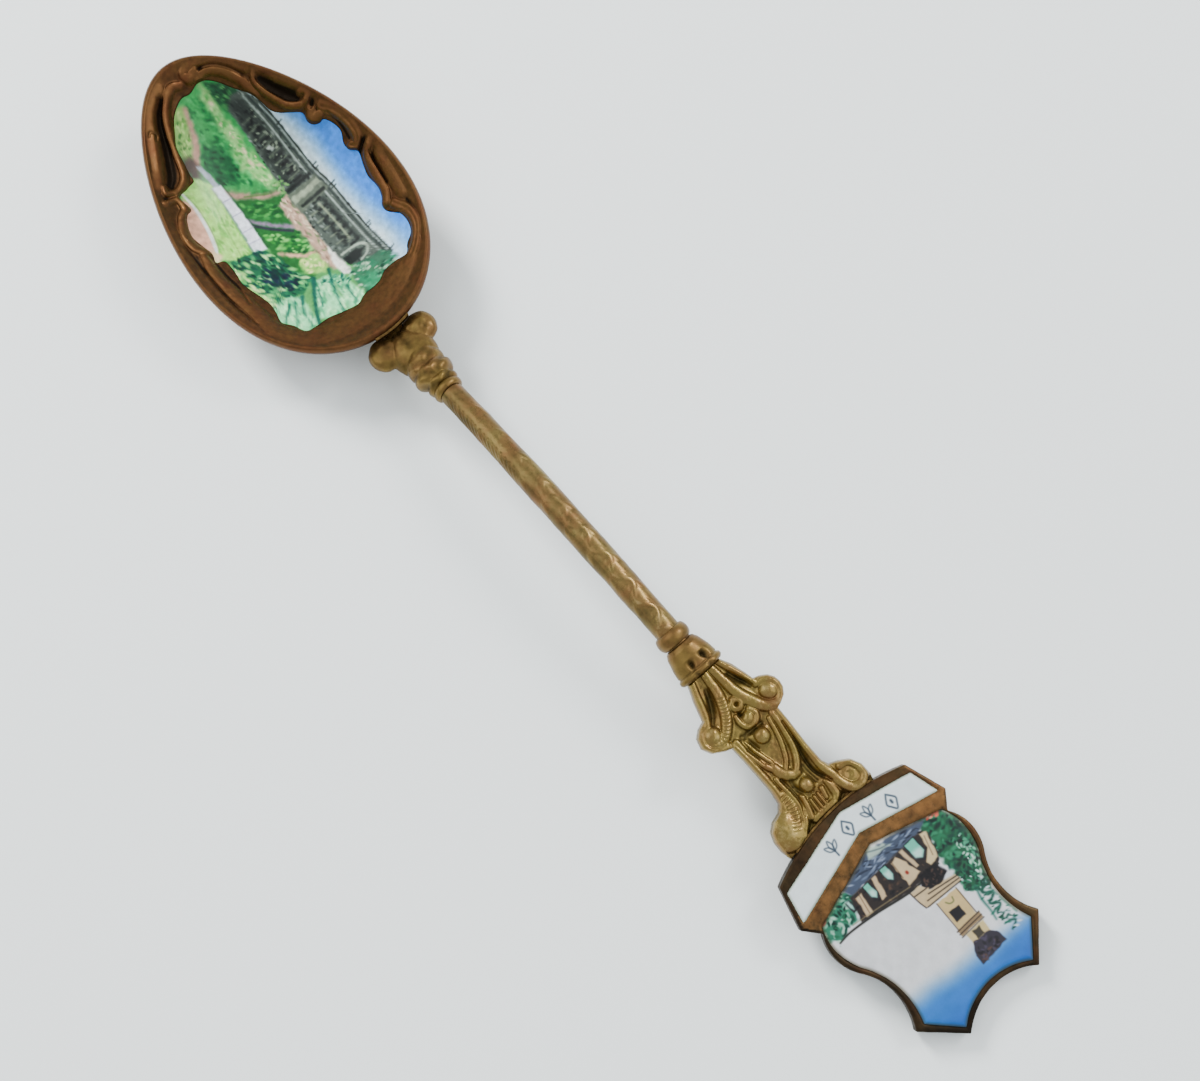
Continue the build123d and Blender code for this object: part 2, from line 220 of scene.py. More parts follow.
def shape(bm, name, points, material, nodes, marks=None, picture=None, skirt=0.0):
    """Moves a bmesh's corners to points in metres, closes its seams and makes a piece of it.

    A skirt is how far, in metres, the open edge of a sheet is drawn down before its underside is filled.
    """
    mesh = bpy.data.meshes.new(name)
    bm.to_mesh(mesh)
    bm.free()
    points = np.array(points, np.float32)
    # The bowl and the shield's two corners have small flats where they stand.
    points[:, 2] = np.maximum(points[:, 2], 0)
    mesh.vertices.foreach_set("co", points.ravel())
    if marks is not None:
        mesh.attributes.new("wear_and_painted_light", "FLOAT", "POINT").data.foreach_set("value", np.asarray(marks, np.float32))
    if picture is not None:
        rgba = np.ones((len(picture), 4), np.float32)
        rgba[:, :3] = linear(deepened(np.clip(picture, 0, 1)))
        mesh.attributes.new("picture", "FLOAT_COLOR", "POINT").data.foreach_set("color", rgba.ravel())
    bm = bmesh.new()
    bm.from_mesh(mesh)
    bmesh.ops.remove_doubles(bm, verts=bm.verts, dist=SEAM)
    if skirt:
        edge = [e for e in bm.edges if e.is_boundary]
        grown = bmesh.ops.extrude_edge_only(bm, edges=edge)["geom"]
        bmesh.ops.translate(bm, verts=[v for v in grown if isinstance(v, bmesh.types.BMVert)],
                            vec=(0, 0, -skirt))
        bmesh.ops.holes_fill(bm, edges=[e for e in bm.edges if e.is_boundary], sides=0)
    bmesh.ops.recalc_face_normals(bm, faces=bm.faces)
    for face in bm.faces:
        face.smooth = True
    bm.to_mesh(mesh)
    bm.free()
    return piece(name, mesh, material, nodes)


def piece(name, mesh, material, nodes):
    made = bpy.data.objects.new(name, mesh)
    bpy.context.scene.collection.objects.link(made)
    mesh.materials.clear()
    mesh.materials.append(material)
    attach(made, "root")
    if nodes:
        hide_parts(*nodes)
    return made


def in_row(matrix, points):
    m = np.array(matrix)
    return points @ m[:3, :3].T + m[:3, 3]


def smooth_line(points, steps=10, closed=False):
    """A smooth line through points of any number of values."""
    p = np.array(points, float)
    if closed:
        p = np.vstack([p[-1], p, p[0], p[1]])
    else:
        p = np.vstack([2 * p[0] - p[1], p, 2 * p[-1] - p[-2]])
    t = np.linspace(0, 1, steps, endpoint=False)[:, None]
    line = []
    for a, b, c, d in zip(p, p[1:], p[2:], p[3:]):
        line.append(0.5 * (2 * b + (c - a) * t + (2 * a - 5 * b + 4 * c - d) * t**2
                           + (3 * b - a - 3 * c + d) * t**3))
    line = np.vstack(line)
    return line if closed else np.vstack([line, p[-2]])


def nearest(at, line):
    """For every place: the distance to a line, its width and height there, and how far along it that is."""
    best = np.full(len(at), 1e9)
    width = np.ones(len(at))
    rise = np.zeros(len(at))
    reach = line[:, 2].max() * 3 + 0.3
    near = np.flatnonzero(
        (at[:, 0] > line[:, 0].min() - reach) & (at[:, 0] < line[:, 0].max() + reach)
        & (at[:, 1] > line[:, 1].min() - reach) & (at[:, 1] < line[:, 1].max() + reach)
    )
    q = at[near]
    b, w, r = best[near], width[near], rise[near]
    for start, end in zip(line[:-1], line[1:]):
        step = end[:2] - start[:2]
        t = np.clip((q - start[:2]) @ step / max(step @ step, 1e-12), 0, 1)
        gap = np.hypot(*(q - start[:2] - t[:, None] * step).T)
        closer = gap < b
        b = np.where(closer, gap, b)
        w = np.where(closer, start[2] + t * (end[2] - start[2]), w)
        r = np.where(closer, start[3] + t * (end[3] - start[3]), r)
    best[near], width[near], rise[near] = b, w, r
    return best, width, rise


def relief(at, ridges, grooves):
    """The height of cast relief over the ground: rounded ridges, some reeded, then cut grooves."""
    height = np.zeros(len(at))
    for ridge in ridges:
        reed, points = ridge[0], ridge[1:]
        line = smooth_line(points, 6)
        gap, width, rise = nearest(at, line)
        q = gap / np.maximum(width, 1e-3)
        body = rise * np.sqrt(np.clip(1 - q * q, 0, 1))
        foot = 0.22 * rise * np.exp(-np.clip(q - 0.85, 0, 9) ** 2 * 9) * (q < 2.2)
        body = np.maximum(body, foot)
        if reed:
            body -= reed * rise * np.exp(-((q / 0.32) ** 2))
        height = np.maximum(height, body)
    for groove in grooves:
        line = smooth_line(groove, 6)
        gap, width, depth = nearest(at, line)
        height -= depth * np.exp(-((gap / np.maximum(width, 1e-3)) ** 2))
    return height


def edge_distance(at, outline):
    """Distance to a closed outline, negative inside it."""
    outline = np.asarray(outline, float)
    best = np.full(len(at), 1e9)
    inside = np.zeros(len(at), bool)
    for a, b in zip(outline, np.roll(outline, -1, 0)):
        step = b - a
        t = np.clip((at - a) @ step / max(step @ step, 1e-12), 0, 1)
        best = np.minimum(best, np.hypot(*(at - a - t[:, None] * step).T))
        if a[1] != b[1]:
            crosses = (a[1] > at[:, 1]) != (b[1] > at[:, 1])
            inside ^= crosses & (at[:, 0] < a[0] + (at[:, 1] - a[1]) / (b[1] - a[1]) * (b[0] - a[0]))
    return np.where(inside, -best, best)


def grain(at, size, seed):
    """Soft noise from 0 to 1, in spots of about that size."""
    table = np.random.default_rng(seed).random((97, 97))
    q = at / size + 31.0
    cell = np.floor(q).astype(int)
    f = q - cell
    f = f * f * (3 - 2 * f)
    i, j = cell[:, 0] % 96, cell[:, 1] % 96
    low = table[i, j] * (1 - f[:, 0]) + table[i + 1, j] * f[:, 0]
    high = table[i, j + 1] * (1 - f[:, 0]) + table[i + 1, j + 1] * f[:, 0]
    return low * (1 - f[:, 1]) + high * f[:, 1]


class Painting:
    """A picture painted on a sheet's corners: x runs along the spoon and y across it."""

    def __init__(self, at, ground):
        self.at = at
        self.colour = np.tile(hex_rgb(ground), (len(at), 1))

    def lay(self, share, colour):
        share = np.clip(share, 0, 1)[:, None]
        self.colour = self.colour * (1 - share) + colour * share

    def fill(self, outline, code, edge=0.08, wobble=0.12, strength=1.0, seed=1):
        gap = edge_distance(self.at, outline) + wobble * (grain(self.at, 0.45, seed) - 0.5) * 2
        self.lay(strength * np.clip(0.5 - gap / edge / 2, 0, 1), hex_rgb(code))

    def line(self, points, code, width=0.12, edge=0.07, strength=1.0, wobble=0.0, seed=1):
        route = smooth_line([(*p[:2], (p[2] if len(p) > 2 else width), 0) for p in points], 6)
        gap, reach, _ = nearest(self.at, route)
        gap = gap + wobble * (grain(self.at, 0.3, seed) - 0.5) * 2
        self.lay(strength * np.clip(0.5 - (gap - reach) / edge / 2, 0, 1), hex_rgb(code))

    def dabs(self, outline, codes, count, size, seed, angle=None, stretch=2.0, strength=0.9):
        """Short brush dabs of several colours, kept inside an outline."""
        pick = np.random.default_rng(seed)
        outline = np.asarray(outline, float)
        low, high = outline.min(0), outline.max(0)
        places = low + pick.random((count * 4, 2)) * (high - low)
        places = places[edge_distance(places, outline) < 0][:count]
        for place in places:
            turn = pick.random() * math.pi if angle is None else angle + pick.normal() * 0.35
            reach = size * (0.6 + 0.8 * pick.random())
            close = np.flatnonzero(np.abs(self.at - place).max(1) < reach * stretch * 1.2)
            q = self.at[close] - place
            along = (q @ (math.cos(turn), math.sin(turn))) / (reach * stretch)
            aside = (q @ (-math.sin(turn), math.cos(turn))) / reach
            share = strength * np.clip(1.6 * (1 - np.hypot(along, aside)), 0, 1)[:, None]
            code = hex_rgb(codes[pick.integers(len(codes))])
            self.colour[close] = self.colour[close] * (1 - share) + code * share

    def speckle(self, amount, size, seed, outline=None):
        tone = 1 + amount * (grain(self.at, size, seed) - 0.5) * 2
        if outline is not None:
            tone = np.where(edge_distance(self.at, outline) < 0, tone, 1)
        self.colour = self.colour * tone[:, None]


# ---------------------------------------------------------------- bowl


def egg_half_width(x):
    u = np.clip(x / BOWL_LENGTH, 0, 1)
    return np.sqrt(4 * u * (1 - u) * (76.0 + 103.0 * u))


def dish(x, y, edge, sag, scale):
    """Height of a dished surface below the rim plane, as in the solids."""
    u = (BOWL_MIDDLE + (x - BOWL_MIDDLE) / scale) / BOWL_LENGTH
    inside = 4 * u * (1 - u) - (y / scale) ** 2 / (76.0 + 103.0 * u)
    return -edge - sag * (1 - np.maximum(1 - inside, 0) ** 1.3)


BOWL_CENTRE = np.array([16.8, 0.3])


def reach_of(outline, angle):
    """How far an outline lies from the bowl's centre at each angle."""
    away = np.asarray(outline) - BOWL_CENTRE
    turn = np.arctan2(away[:, 1], away[:, 0])
    order = np.argsort(turn)
    return np.interp(angle, turn[order], np.hypot(*away[order].T), period=2 * math.pi)


def egg_outline(scale):
    u = 0.5 - 0.5 * np.cos(np.linspace(0, math.pi, 400))
    x, half = BOWL_LENGTH * u, egg_half_width(BOWL_LENGTH * u)
    x = BOWL_MIDDLE + (x - BOWL_MIDDLE) * scale
    return np.vstack([np.c_[x, half * scale], np.c_[x, -half * scale][::-1]])


# The picture's scalloped edge, from the tip round by the upper side.
PICTURE_EDGE = [
    (3.0, 1.9), (3.9, 3.1), (5.5, 4.1), (6.9, 5.0), (8.0, 5.3), (9.2, 5.5), (10.0, 6.0), (10.8, 6.8),
    (11.7, 7.6),
    (12.5, 7.5), (13.1, 7.7), (13.6, 8.2), (13.7, 8.7), (14.6, 9.1), (15.7, 9.2), (16.6, 8.7), (17.4, 8.7),
    (18.3, 9.2), (19.4, 8.8), (20.6, 8.4), (22.2, 8.4), (23.2, 8.0), (23.8, 7.5), (24.7, 7.5), (25.3, 8.1),
    (26.8, 8.2), (28.0, 7.7), (28.6, 6.7), (29.3, 6.0), (29.0, 4.9), (28.9, 3.5), (29.4, 2.2), (29.4, 0.4),
    (29.8, -0.7), (29.4, -2.4), (29.0, -3.8), (29.0, -5.3), (28.8, -6.4), (27.6, -6.9), (26.6, -7.6),
    (25.3, -7.3),
    (23.9, -7.2), (21.8, -7.7), (20.8, -7.9), (19.6, -7.7), (18.0, -7.7), (17.7, -8.5), (16.7, -8.2),
    (15.3, -8.5),
    (14.3, -8.6), (13.0, -8.1), (12.3, -7.6), (11.9, -6.9), (10.5, -7.0), (10.0, -5.7), (9.7, -4.8),
    (9.1, -4.7),
    (7.9, -4.4), (6.3, -4.0), (5.2, -3.2), (3.9, -2.1), (3.1, -0.6), (3.2, 0.5),
]

# Each ridge: how deeply it is reeded, then (x, y, half-width, height).
BOWL_RIDGES = [
    (0, (2.1, 2.2, 0.4, 0.3), (2.3, 1.3, 0.55, 0.45), (1.7, 1.1, 0.45, 0.35), (1.5, 2.2, 0.45, 0.35),
     (2.2, 3.8, 0.5, 0.4), (3.5, 5.0, 0.5, 0.35), (5.2, 6.0, 0.4, 0.25)),
    (0, (2.9, 1.9, 0.35, 0.3), (2.75, 2.9, 0.45, 0.35), (3.6, 4.0, 0.5, 0.38), (5.2, 4.9, 0.5, 0.36),
     (7.4, 5.4, 0.4, 0.3)),
    (0, (5.9, 6.5, 0.28, 0.3), (6.5, 5.9, 0.32, 0.42), (7.5, 5.95, 0.34, 0.45), (8.9, 6.4, 0.36, 0.45),
     (10.3, 7.0, 0.4, 0.48), (11.3, 8.0, 0.4, 0.5), (11.2, 8.9, 0.36, 0.45), (10.6, 8.9, 0.3, 0.4),
     (10.4, 8.4, 0.28, 0.35)),
    (0, (5.9, 6.8, 0.4, 0.25), (7.3, 7.5, 0.5, 0.32), (8.8, 8.2, 0.5, 0.32), (10.0, 9.1, 0.5, 0.3),
     (11.4, 9.8, 0.4, 0.2)),
    (0, (12.3, 8.2, 0.6, 0.4), (12.8, 7.9, 0.65, 0.5), (13.2, 8.6, 0.5, 0.4)),
    (0.3, (12.8, 9.2, 0.5, 0.35), (14.3, 9.95, 0.55, 0.42), (15.8, 10.2, 0.5, 0.42), (17.2, 10.0, 0.5, 0.42),
     (17.8, 9.4, 0.5, 0.42), (17.4, 9.0, 0.45, 0.35)),
    (0, (18.6, 11.3, 0.4, 0.2), (18.7, 10.2, 0.45, 0.42), (19.6, 9.4, 0.45, 0.45), (21.2, 9.0, 0.5, 0.42),
     (23.0, 8.6, 0.5, 0.42), (23.9, 8.0, 0.5, 0.45)),
    (0, (19.8, 10.9, 0.6, 0.2), (20.4, 10.3, 0.6, 0.25), (22.4, 9.9, 0.6, 0.22), (24.6, 9.5, 0.5, 0.2)),
    (0.25, (24.6, 8.4, 0.5, 0.4), (26.3, 8.9, 0.55, 0.4), (27.9, 8.5, 0.5, 0.38), (29.2, 7.3, 0.5, 0.35),
     (29.9, 6.0, 0.5, 0.28)),
    (0, (2.2, 0.2, 0.4, 0.25), (2.0, -0.8, 0.45, 0.35), (3.1, -2.4, 0.45, 0.4), (5.0, -3.6, 0.45, 0.4),
     (7.1, -4.5, 0.42, 0.4), (9.0, -5.3, 0.42, 0.42), (10.0, -6.6, 0.45, 0.45), (9.9, -7.7, 0.42, 0.42),
     (9.2, -7.6, 0.35, 0.38)),
    (0, (1.5, -1.6, 0.5, 0.25), (2.7, -3.7, 0.55, 0.32), (4.8, -5.2, 0.6, 0.35), (7.2, -6.6, 0.6, 0.35),
     (9.0, -8.0, 0.5, 0.3)),
    (0, (10.6, -8.4, 0.4, 0.3), (10.6, -7.3, 0.45, 0.4), (11.8, -7.3, 0.5, 0.45), (12.5, -8.2, 0.45, 0.4),
     (13.9, -9.0, 0.5, 0.38), (15.4, -9.2, 0.5, 0.38), (16.4, -8.7, 0.5, 0.4)),
    (0, (16.6, -8.9, 0.5, 0.35), (18.8, -9.3, 0.7, 0.36), (21.3, -9.2, 0.8, 0.36), (24.0, -8.8, 0.8, 0.36),
     (26.6, -8.7, 0.9, 0.28), (29.0, -7.4, 1.0, 0.2), (30.5, -4.9, 1.1, 0.15), (31.1, -2.0, 1.2, 0.13),
     (31.2, 1.0, 1.2, 0.13),
     (30.7, 3.6, 1.1, 0.15), (29.9, 6.0, 0.7, 0.24)),
    (0, (12.4, -9.9, 0.6, 0.18), (17.0, -10.5, 0.6, 0.2), (22.0, -10.5, 0.6, 0.2), (26.5, -9.8, 0.6, 0.18)),
]
BOWL_GROOVES = [
    ((6.8, 6.7, 0.35, 0.3), (8.2, 7.1, 0.42, 0.4), (9.6, 7.7, 0.45, 0.42), (10.4, 8.1, 0.3, 0.3)),
    ((2.25, 2.6, 0.2, 0.25), (2.8, 3.8, 0.22, 0.25), (4.0, 4.8, 0.2, 0.2), (5.4, 5.4, 0.2, 0.15)),
    ((2.2, -2.2, 0.28, 0.3), (3.8, -3.8, 0.3, 0.34), (6.2, -5.0, 0.32, 0.36), (8.3, -6.2, 0.34, 0.36),
     (9.2, -7.0, 0.25, 0.3)),
    ((4.6, -5.5, 0.1, 0.2), (4.3, -5.1, 0.1, 0.2), (4.7, -4.8, 0.1, 0.2), (5.1, -5.1, 0.1, 0.2)),
    ((16.9, -8.6, 0.16, 0.2), (19.3, -8.65, 0.16, 0.26), (21.2, -8.5, 0.16, 0.24), (23.2, -8.7, 0.12, 0.15)),
    ((15.0, -9.9, 0.16, 0.16), (18.0, -10.0, 0.18, 0.18), (22.5, -10.0, 0.18, 0.18),
     (25.6, -9.5, 0.14, 0.12)),
    ((13.6, 9.3, 0.12, 0.16), (15.2, 9.6, 0.12, 0.18), (16.8, 9.4, 0.12, 0.16)),
    ((19.3, 9.9, 0.16, 0.24), (20.4, 9.7, 0.18, 0.22), (22.6, 9.3, 0.14, 0.16)),
    ((18.0, 10.4, 0.18, 0.25), (18.2, 9.6, 0.2, 0.3), (18.5, 9.2, 0.15, 0.2)),
    ((11.8, 9.0, 0.2, 0.3), (12.1, 8.5, 0.18, 0.25)),
    ((25.4, 9.5, 0.14, 0.14), (27.6, 9.3, 0.16, 0.18), (29.2, 8.1, 0.16, 0.16)),
    ((10.2, -8.3, 0.18, 0.28), (10.25, -7.4, 0.16, 0.22)),
]


def bowl(brass):
    """The dish: border scrolls inside, a plain rim and wall, and a plain back."""
    inner, border, rim, back = 6, 64, 8, 18
    rows = inner + border + rim + back
    steps = 860
    bm, across, along = sheet(rows, steps)
    row = np.rint(across * rows).astype(int)
    angle = along * 2 * math.pi - math.pi
    ray = np.c_[np.cos(angle), np.sin(angle)]
    picture = reach_of(smooth_line(PICTURE_EDGE, 8, closed=True), angle)
    step_in = reach_of(egg_outline(0.965), angle)
    outer = reach_of(egg_outline(1.0), angle)
    share = lambda first, count: np.clip((row - first) / count, 0, 1)
    far = np.where(
        row <= inner, (picture - 0.12) * share(0, inner) ** 0.7,
        picture - 0.12 + (step_in - picture + 0.12) * share(inner, border)
    )
    edge = share(inner + border, rim)
    far = np.where(row > inner + border, step_in + (outer - step_in) * edge, far)
    far = np.where(row > inner + border + rim, outer * np.clip(1 - share(inner + border + rim, back), 0,
                                                               1) ** 0.8, far)
    at = BOWL_CENTRE + ray * far[:, None]
    x, y = at.T
    height = dish(x, y, 0.15, 5.05, 0.948)
    on_border = (row >= inner) & (row <= inner + border)
    lift = np.zeros(len(x))
    place = at[on_border]
    lift[on_border] = 1.15 * relief(place, BOWL_RIDGES, BOWL_GROOVES)
    lift[on_border] += 0.05 * (grain(place, 0.9, 5) - 0.5) + 0.03 * (grain(place, 0.3, 6) - 0.5)
    fade = np.clip((step_in - far) / 0.9, 0, 1)
    rise = np.clip((far - picture + 0.12) / 0.24, 0, 1)
    rise = rise * rise * (3 - 2 * rise)
    lift = (lift * fade + 0.12 * (1 - fade)) * (0.35 + 0.65 * rise)
    height = np.where(row <= inner + border, height + lift - 0.42 * (1 - rise), height)
    marks = np.where(on_border, 0.36 + 0.5 * lift - 1.8 * np.clip(0.04 - lift, 0, 1), 0.5)
    marks = np.where(on_border & (rise < 1), np.minimum(marks, 0.2 + 0.2 * rise), marks)
    crown = 0.08 * np.sin(math.pi * edge)
    on_rim = (row > inner + border) & (row <= inner + border + rim)
    level = dish(x, y, 0.15, 5.05, 0.948) + 0.12
    height = np.where(on_rim, np.maximum(level, -0.24) * (1 - edge) - 0.16 * edge + crown, height)
    below = row > inner + border + rim
    height = np.where(below, dish(x, y, 0.9, 5.5, 1.0), height)
    for extra, drop in enumerate([0.3, 0.6]):
        ring = row == inner + border + rim + 1 + extra
        height = np.where(ring, -drop, height)
        at = np.where(ring[:, None], BOWL_CENTRE + ray * outer[:, None], at)
    marks = np.where(on_rim, 0.4, marks)
    marks = np.where(below, 0.38, marks)
    points = in_row(BOWL, np.c_[at, height])
    return shape(bm, "bowl_brass_dish", points, brass, ["bowl"], marks)


def palace_and_garden(at):
    """A made-up view: a long palace under a blue sky, above lawns, paths, a balustrade and palms."""
    p = Painting(at, "#5f9a62")
    x, y = at.T
    tone = np.clip((y - 5.2) / 2.6 + 0.25 * (grain(at, 2.4, 3) - 0.5), 0, 1)
    tone = tone * tone * (3 - 2 * tone)
    sky = hex_rgb("#c6d6da") * (1 - tone)[:, None] + hex_rgb("#4b92de") * tone[:, None]
    pale = np.clip((x - 26.0) / 2.5, 0, 1)[:, None] * 0.5
    p.lay(y > 4.2, sky * (1 - pale) + hex_rgb("#a9c8e4") * pale)
    # Lawns and beds on the left, under the palace.
    p.fill([(3.0, -2.0), (3.0, 3.2), (5.9, 3.7), (9.5, 2.4), (14.2, 1.4), (14.8, 0.1), (12.9, -1.6),
            (11.5, -2.7), (9.0, -3.6), (6.0, -3.5)],
           "#3f9a5c", 0.3, 0.3, seed=11)
    p.dabs([(3.2, -1.0), (3.6, 1.4), (7.3, 0.8), (11.0, 0.2), (13.5, 0.2), (11.5, -2.6), (8.0, -2.3)],
           ["#2f8650", "#56ad6e", "#35915a", "#1f6a42", "#4aa866"], 150, 0.22, 12, 0.4)
    p.fill([(7.4, -1.7), (8.9, -0.4), (11.0, -0.4), (12.3, -1.6), (11.3, -3.0), (9.7, -3.2), (8.0, -2.6)],
           "#1f5f40", 0.4, 0.4, 0.85, 13)
    p.dabs([(7.2, -1.6), (9.0, -0.3), (12.6, -0.8), (11.5, -3.0), (9.0, -3.2)],
           ["#17492f", "#2d7a4c", "#1c5a3c"], 45, 0.2, 14, 0.6)
    p.fill([(3.1, 1.8), (4.3, 2.2), (7.3, 1.7), (10.9, 1.5), (13.9, 1.7), (14.4, 0.7), (11.3, -0.3),
            (8.9, 0.3), (5.6, 1.0), (4.0, 0.9)],
           "#9cc483", 0.3, 0.3, 0.9, 15)
    p.dabs([(3.4, 1.7), (7.3, 1.6), (13.9, 1.6), (14.0, 0.5), (11.3, -0.2), (8.9, 0.3), (5.6, 1.1)],
           ["#c4d6a0", "#7db573", "#a8d08c", "#5aa45f", "#d3c9a6"], 90, 0.17, 16, 0.1)
    p.fill([(3.4, 2.2), (4.0, 3.3), (5.9, 4.3), (6.6, 3.6), (6.4, 2.3), (4.8, 2.0)], "#2c5c40", 0.3, 0.3, 1.0,
           17)
    p.dabs([(3.6, 2.2), (5.0, 3.8), (6.3, 3.6), (6.2, 2.4)], ["#1c4631", "#4d8a58", "#33694a", "#74a86e"], 40,
           0.18, 18)
    p.fill([(3.3, -1.9), (3.5, -0.7), (4.6, -0.9), (5.9, -1.8), (7.9, -3.3), (7.4, -4.4), (5.8, -3.9),
            (4.6, -3.0)], "#8fb56a", 0.2, 0.2, 1, 19)
    p.dabs([(3.5, -1.7), (5.0, -1.4), (7.6, -3.4), (6.8, -4.2), (5.0, -3.1)],
           ["#6a9a4c", "#b5cf83", "#4d7f3f"], 45, 0.16, 20)
    p.line([(3.9, -0.9, 0.22), (5.4, -1.5, 0.26), (7.0, -2.3, 0.3), (8.5, -3.6, 0.42)], "#b99a88", edge=0.2,
           wobble=0.1)
    p.fill([(7.4, -4.4), (7.5, -3.7), (8.6, -3.2), (9.8, -4.2), (9.3, -4.9), (8.2, -4.6)], "#5d4a42", 0.3,
           0.2, 0.95, 21)
    # Paths and beds in the middle.
    p.fill([(12.6, -3.2), (14.6, 0.4), (15.6, 2.2), (16.3, 0.9), (22.5, 0.4), (24.6, -0.2), (24.2, -2.4),
            (21.0, -3.6), (16.0, -3.6)],
           "#33703f", 0.2, 0.2, seed=22)
    p.dabs([(13.9, -2.7), (15.3, -0.3), (17.1, 0.1), (17.6, -0.9), (15.6, -2.9)],
           ["#1f5a35", "#3f8a4c", "#5aa35a", "#2a6c40"], 45, 0.2, 23, 0.9)
    p.dabs([(17.5, -3.2), (19.8, 0.0), (22.0, 0.2), (22.0, -1.2), (20.2, -2.9)],
           ["#3f9147", "#6fb964", "#27693c", "#8cc878", "#1d5533"], 60, 0.2, 24, 0.9)
    p.fill([(22.0, -1.9), (22.5, -0.2), (23.9, 0.4), (24.8, -0.7), (23.6, -2.6)], "#9dc472", 0.2, 0.25, 0.95,
           25)
    p.dabs([(22.1, -1.8), (23.8, 0.3), (24.6, -0.8), (23.5, -2.5)], ["#c8d98a", "#77b35f", "#e0e0a8"], 26,
           0.16, 26)
    p.line([(12.2, -3.3, 0.35), (13.9, -1.5, 0.3), (15.2, 0.5, 0.27), (15.6, 2.2, 0.24)], "#a89080", edge=0.2,
           wobble=0.14)
    p.line([(13.6, -1.9, 0.08), (14.8, 0.1, 0.08)], "#5d7a4c", edge=0.1)
    p.line([(15.6, -3.4, 0.2), (17.4, -1.8, 0.2), (19.5, 0.3, 0.2)], "#8f8294", edge=0.15, wobble=0.1)
    p.line([(15.9, -3.6, 0.1), (17.7, -2.1, 0.12), (19.3, -0.5, 0.1)], "#3f3a4c", edge=0.12)
    p.line([(20.3, -3.1, 0.16), (21.9, -1.5, 0.18), (22.4, -0.3, 0.16)], "#c9a88f", edge=0.15, wobble=0.1)
    p.fill([(15.9, 1.5), (16.4, 0.0), (19.1, -0.1), (21.9, -0.1), (24.6, -0.3), (25.6, 0.6), (25.0, 1.4),
            (21.8, 1.4), (18.4, 1.6)],
           "#b59d8c", 0.2, 0.2, seed=27)
    p.dabs([(16.0, 1.3), (16.5, 0.2), (24.4, 0.0), (25.0, 1.1)], ["#cbb5a2", "#8f7a6c", "#d8c6ae", "#7d8a68"],
           60, 0.14, 28, 0.0, 2.6)
    p.fill([(22.0, 1.25), (24.2, 1.4), (27.0, 1.1), (26.2, 0.4), (24.6, 0.3)], "#dfe0d8", 0.12, 0.1, seed=29)
    # The palace: a dark stone front with a cornice, piers, window bands and a central pavilion.
    body = [(5.6, 3.4), (5.9, 4.6), (7.8, 5.3), (10.4, 5.45), (15.8, 5.3), (18.4, 5.5), (23.9, 5.3),
            (27.7, 5.4), (28.4, 4.6),
            (27.4, 2.4), (25.8, 1.4), (24.6, 1.1), (21.8, 1.1), (18.4, 1.4), (16.1, 1.5), (13.1, 1.7),
            (9.5, 2.2), (6.4, 2.4)]
    p.fill(body, "#5a635c", 0.12, 0.08, seed=30)
    p.dabs(body, ["#333b39", "#49534f", "#78827c", "#272e2c", "#667069", "#929b94"], 420, 0.14, 31, 0.1, 1.8,
           0.8)
    p.fill([(6.0, 2.9), (6.6, 3.9), (11.0, 4.2), (15.6, 3.9), (15.8, 2.2), (13.0, 2.1), (9.0, 2.6)],
           "#2a302d", 0.3, 0.3, 0.6, 32)
    for k in range(17):
        at_x = 8.2 + k * 0.98
        if 15.6 < at_x < 17.9:
            continue
        tall = 3.9 if at_x > 9 else 3.6
        p.line([(at_x, 2.6), (at_x + 0.05, tall)], "#7a8474", 0.06, 0.09, 0.75, 0.05, 40 + k)
        p.line([(at_x + 0.48, 2.9), (at_x + 0.5, tall - 0.2)], "#161a1a", 0.13, 0.12, 0.85, 0.05, 60 + k)
    p.line([(6.4, 4.35, 0.06), (10.2, 4.55, 0.08), (15.4, 4.35, 0.08), (18.4, 4.5, 0.09), (24.9, 4.4, 0.08),
            (27.2, 4.5, 0.05)],
           "#a9b4ae", edge=0.08, strength=0.9)
    p.line([(6.8, 4.7), (10.4, 4.95), (15.6, 4.75), (18.4, 4.95), (24.6, 4.75), (27.5, 4.85)], "#3a4442",
           0.09, 0.08, 0.9)
    p.line([(7.8, 5.25), (10.4, 5.4), (15.8, 5.25), (18.4, 5.45), (23.9, 5.25), (28.0, 5.3)], "#222826",
           0.045, 0.06, 0.9)
    p.line([(8.2, 5.05), (10.4, 5.2), (15.8, 5.05), (18.4, 5.22), (23.9, 5.05), (27.7, 5.1)], "#aab6b6", 0.06,
           0.07, 0.75)
    for at_x, tall in ((10.5, 5.75), (15.7, 5.7), (16.1, 5.6), (18.3, 5.85), (18.7, 5.7), (23.9, 5.75),
                       (24.2, 5.6), (27.6, 5.75)):
        p.line([(at_x, 5.2), (at_x, tall)], "#2f3735", 0.07, 0.07, 0.85)
    p.fill([(16.2, 1.3), (16.4, 4.8), (18.3, 5.0), (18.5, 1.3)], "#6c7568", 0.12, 0.12, 0.9, 33)
    p.fill([(16.7, 1.4), (16.75, 4.7), (17.35, 4.8), (17.4, 1.4)], "#a3ad98", 0.12, 0.14, 0.85, 34)
    p.line([(18.0, 1.9), (18.05, 4.6)], "#242a27", 0.16, 0.12, 0.85, 0.06)
    p.line([(15.9, 1.8), (16.0, 4.4)], "#1e2422", 0.2, 0.14, 0.9, 0.06)
    p.line([(18.9, 3.25), (21.2, 3.3), (23.7, 3.2)], "#9aa48c", 0.11, 0.1, 0.85, 0.04)
    p.line([(19.0, 2.7), (23.9, 2.6)], "#1c2120", 0.2, 0.14, 0.7, 0.08)
    p.line([(18.9, 3.85), (24.2, 3.8)], "#202725", 0.2, 0.14, 0.7, 0.08)
    for k in range(5):
